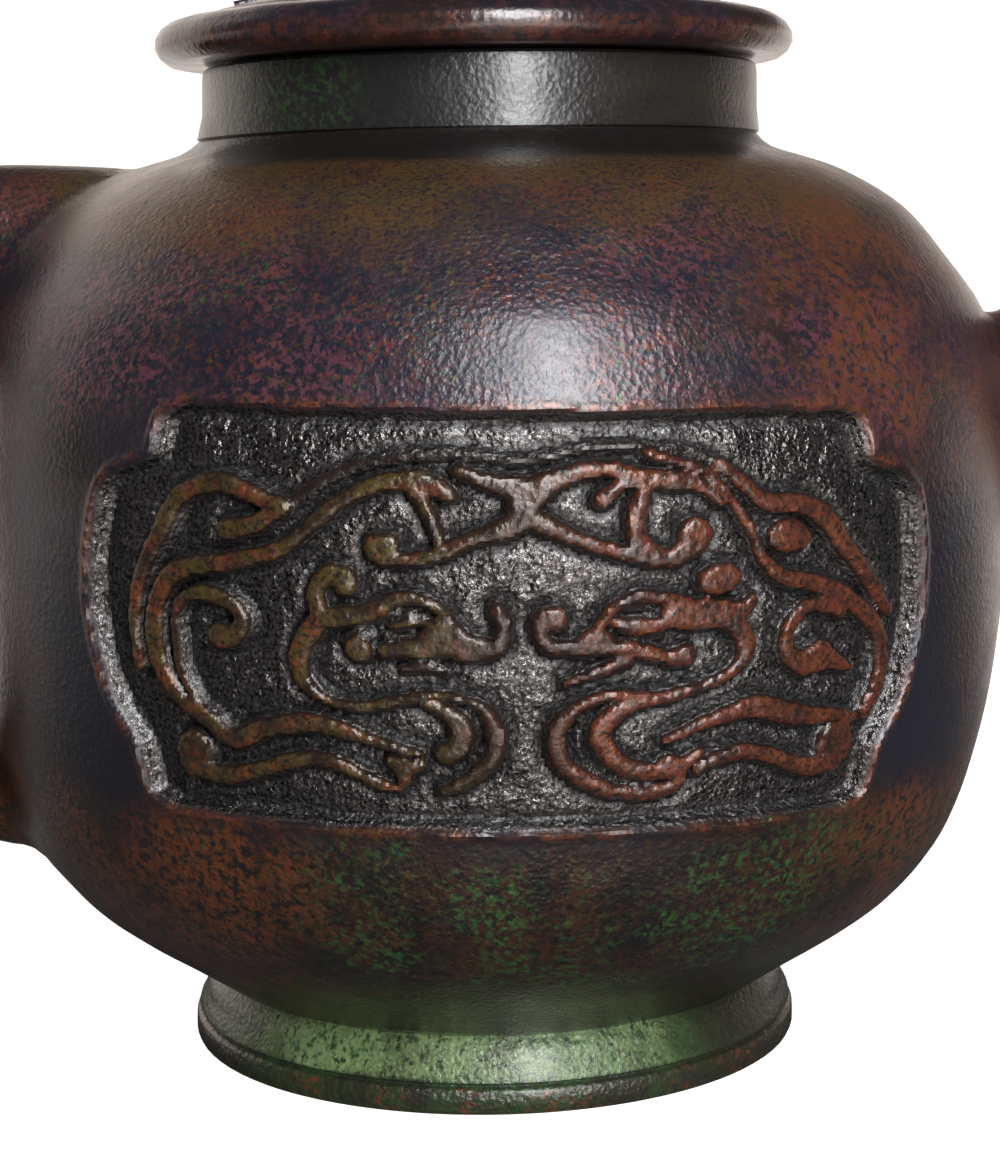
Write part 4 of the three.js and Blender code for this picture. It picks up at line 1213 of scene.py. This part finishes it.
class EWER_OT_stage(bpy.types.Operator):
    """Sets up the floor, the lights and the camera"""

    bl_idname = "ewer.stage"
    bl_label = "Studio"

    def execute(self, context):
        stage = context.scene.ewer_stage
        self.floor(stage)
        self.surround(context.scene, stage)
        self.lights(stage)
        self.camera(context.scene, stage)
        context.scene.view_settings.view_transform = "Standard"
        return {"FINISHED"}

    def floor(self, stage):
        """A wide pale floor under the foot."""
        mesh = bpy.data.meshes.new("floor")
        half = FLOOR_HALF_WIDTH
        corners = [(-half, -half, 0), (half, -half, 0), (half, half, 0), (-half, half, 0)]
        mesh.from_pydata(corners, [], [(0, 1, 2, 3)])
        floor = bpy.data.objects.new("floor", mesh)
        bpy.context.scene.collection.objects.link(floor)
        mesh.materials.append(self.floor_material(stage))

    def floor_material(self, stage):
        """White to the camera. To the bronze it is bright behind, dim in front and has a streak of glare."""
        material = bpy.data.materials.new("pale floor")
        material.use_nodes = True
        tree = material.node_tree
        shader = tree.nodes["Principled BSDF"]
        shader.inputs["Roughness"].default_value = 0.9
        pale = tuple(stage.floor_colour)
        dim = tuple(part * stage.bounce for part in pale[:3]) + (1.0,)
        warm = tuple(part * tone for part, tone in zip(pale, stage.surround_colour))
        seen = add_node(tree, "ShaderNodeLightPath").outputs["Is Camera Ray"]
        unseen = math_node(tree, "SUBTRACT", 1.0, seen)
        place = add_node(tree, "ShaderNodeTexCoord").outputs["Object"]
        side, depth, _ = add_node(tree, "ShaderNodeSeparateXYZ", {0: place}).outputs
        leaning = math_node(tree, "ADD", depth, product(tree, side, BEHIND_LEAN))
        open_floor = math_node(tree, "MAXIMUM", seen, fade(tree, leaning, *BEHIND_EWER))
        off_axis = math_node(tree, "ADD", side, product(tree, depth, math.tan(stage.key_turn)))
        near_axis = fade(tree, math_node(tree, "ABSOLUTE", off_axis), *GLARE_EDGE)
        streak = product(tree, near_axis, fade(tree, depth, *GLARE_START), unseen, stage.floor_streak)
        glow = product(tree, open_floor, stage.floor_glow)
        shown = math_node(tree, "MAXIMUM", glow, product(tree, seen, stage.floor_white))
        strength = math_node(tree, "ADD", shown, streak)
        tree.links.new(mix_colour(tree, open_floor, dim, pale), shader.inputs["Base Color"])
        tree.links.new(mix_colour(tree, seen, warm, pale), shader.inputs["Emission Color"])
        tree.links.new(strength, shader.inputs["Emission Strength"])
        return material

    def surround(self, scene, stage):
        """White to the camera. To the bronze it is bright only low behind the ewer, higher on the left."""
        world = bpy.data.worlds.new("studio white")
        world.use_nodes = True
        tree = world.node_tree
        direction = add_node(tree, "ShaderNodeTexCoord").outputs["Generated"]
        side, depth, height = add_node(tree, "ShaderNodeSeparateXYZ", {0: direction}).outputs
        leaning = math_node(tree, "ADD", height, product(tree, side, SKY_LEAN))
        bright = product(tree, fade(tree, depth, *SKY_BEHIND), fade(tree, leaning, *SKY_LOW))
        glow = between(tree, bright, stage.front_fill, stage.fill)
        seen = add_node(tree, "ShaderNodeLightPath").outputs["Is Camera Ray"]
        tint = mix_colour(tree, seen, tuple(stage.surround_colour), (1.0, 1.0, 1.0, 1.0))
        background = tree.nodes["Background"]
        tree.links.new(tint, background.inputs["Color"])
        tree.links.new(math_node(tree, "MAXIMUM", glow, seen), background.inputs["Strength"])
        scene.world = world

    def lights(self, stage):
        """A tall soft light in front, a little to the right, weaker towards the floor."""
        low_height = stage.key_height - KEY_LOW_DROP
        self.panel_light("key", stage, KEY_LENGTH, stage.key_height, stage.key_power)
        self.panel_light("key_low", stage, KEY_LOW_LENGTH, low_height, stage.key_power * stage.key_low)

    def panel_light(self, name, stage, tall, height, power):
        """One upright stretch of the front light."""
        light = bpy.data.lights.new(name, "AREA")
        light.shape = "RECTANGLE"
        light.size = KEY_WIDTH
        light.size_y = tall
        light.energy = power
        lamp = bpy.data.objects.new(name, light)
        bpy.context.scene.collection.objects.link(lamp)
        lamp.location = (math.sin(stage.key_turn) * KEY_AWAY, -math.cos(stage.key_turn) * KEY_AWAY, height)
        aim = Vector((0.0, 0.0, 0.5 * height)) - lamp.location
        lamp.rotation_mode = "QUATERNION"
        lamp.rotation_quaternion = aim.to_track_quat("-Z", "Y")

    def camera(self, scene, stage):
        """The close camera in front of the panel."""
        lens = bpy.data.cameras.new("camera")
        lens.sensor_width = 36.0
        lens.lens = stage.focal_length
        lens.clip_start = 0.01
        camera = bpy.data.objects.new("camera", lens)
        scene.collection.objects.link(camera)
        forward = Vector((0.0, math.cos(stage.pitch), -math.sin(stage.pitch)))
        right = Vector((1.0, 0.0, 0.0))
        up = right.cross(forward)
        level = math.cos(stage.roll) * right + math.sin(stage.roll) * up
        tall = -math.sin(stage.roll) * right + math.cos(stage.roll) * up
        aim = Vector((stage.aim_side, 0.0, stage.aim_height))
        place = Matrix.Translation(aim - stage.distance * forward)
        axes = Matrix((level, tall, -forward)).transposed().to_4x4()
        camera.matrix_world = Matrix.Rotation(-stage.turn, 4, "Z") @ place @ axes
        scene.camera = camera


class EWER_PT_panel(bpy.types.Panel):
    """Lists the ewer's builders and values"""

    bl_idname = "EWER_PT_panel"
    bl_label = "Bronze Ewer"
    bl_space_type = "VIEW_3D"
    bl_region_type = "UI"
    bl_category = "Ewer"

    def draw(self, context):
        for operator in (EWER_OT_body, EWER_OT_lid, EWER_OT_stage):
            self.layout.operator(operator.bl_idname)
        for values in (context.scene.ewer_sizes, context.scene.ewer_colours, context.scene.ewer_stage):
            for key in values.bl_rna.properties.keys():
                if key not in ("rna_type", "name"):
                    self.layout.prop(values, key)


CLASSES = (EwerSizes, EwerColours, EwerStage, EWER_OT_body, EWER_OT_lid, EWER_OT_stage, EWER_PT_panel)


def register():
    for item in CLASSES:
        bpy.utils.register_class(item)
    bpy.types.Scene.ewer_sizes = bpy.props.PointerProperty(type=EwerSizes)
    bpy.types.Scene.ewer_colours = bpy.props.PointerProperty(type=EwerColours)
    bpy.types.Scene.ewer_stage = bpy.props.PointerProperty(type=EwerStage)


def unregister():
    del bpy.types.Scene.ewer_stage
    del bpy.types.Scene.ewer_colours
    del bpy.types.Scene.ewer_sizes
    for item in reversed(CLASSES):
        bpy.utils.unregister_class(item)


def main():
    """Builds everything in order."""
    register()
    bpy.ops.ewer.body()
    bpy.ops.ewer.lid()
    bpy.ops.ewer.stage()


if __name__ == "__main__":
    main()
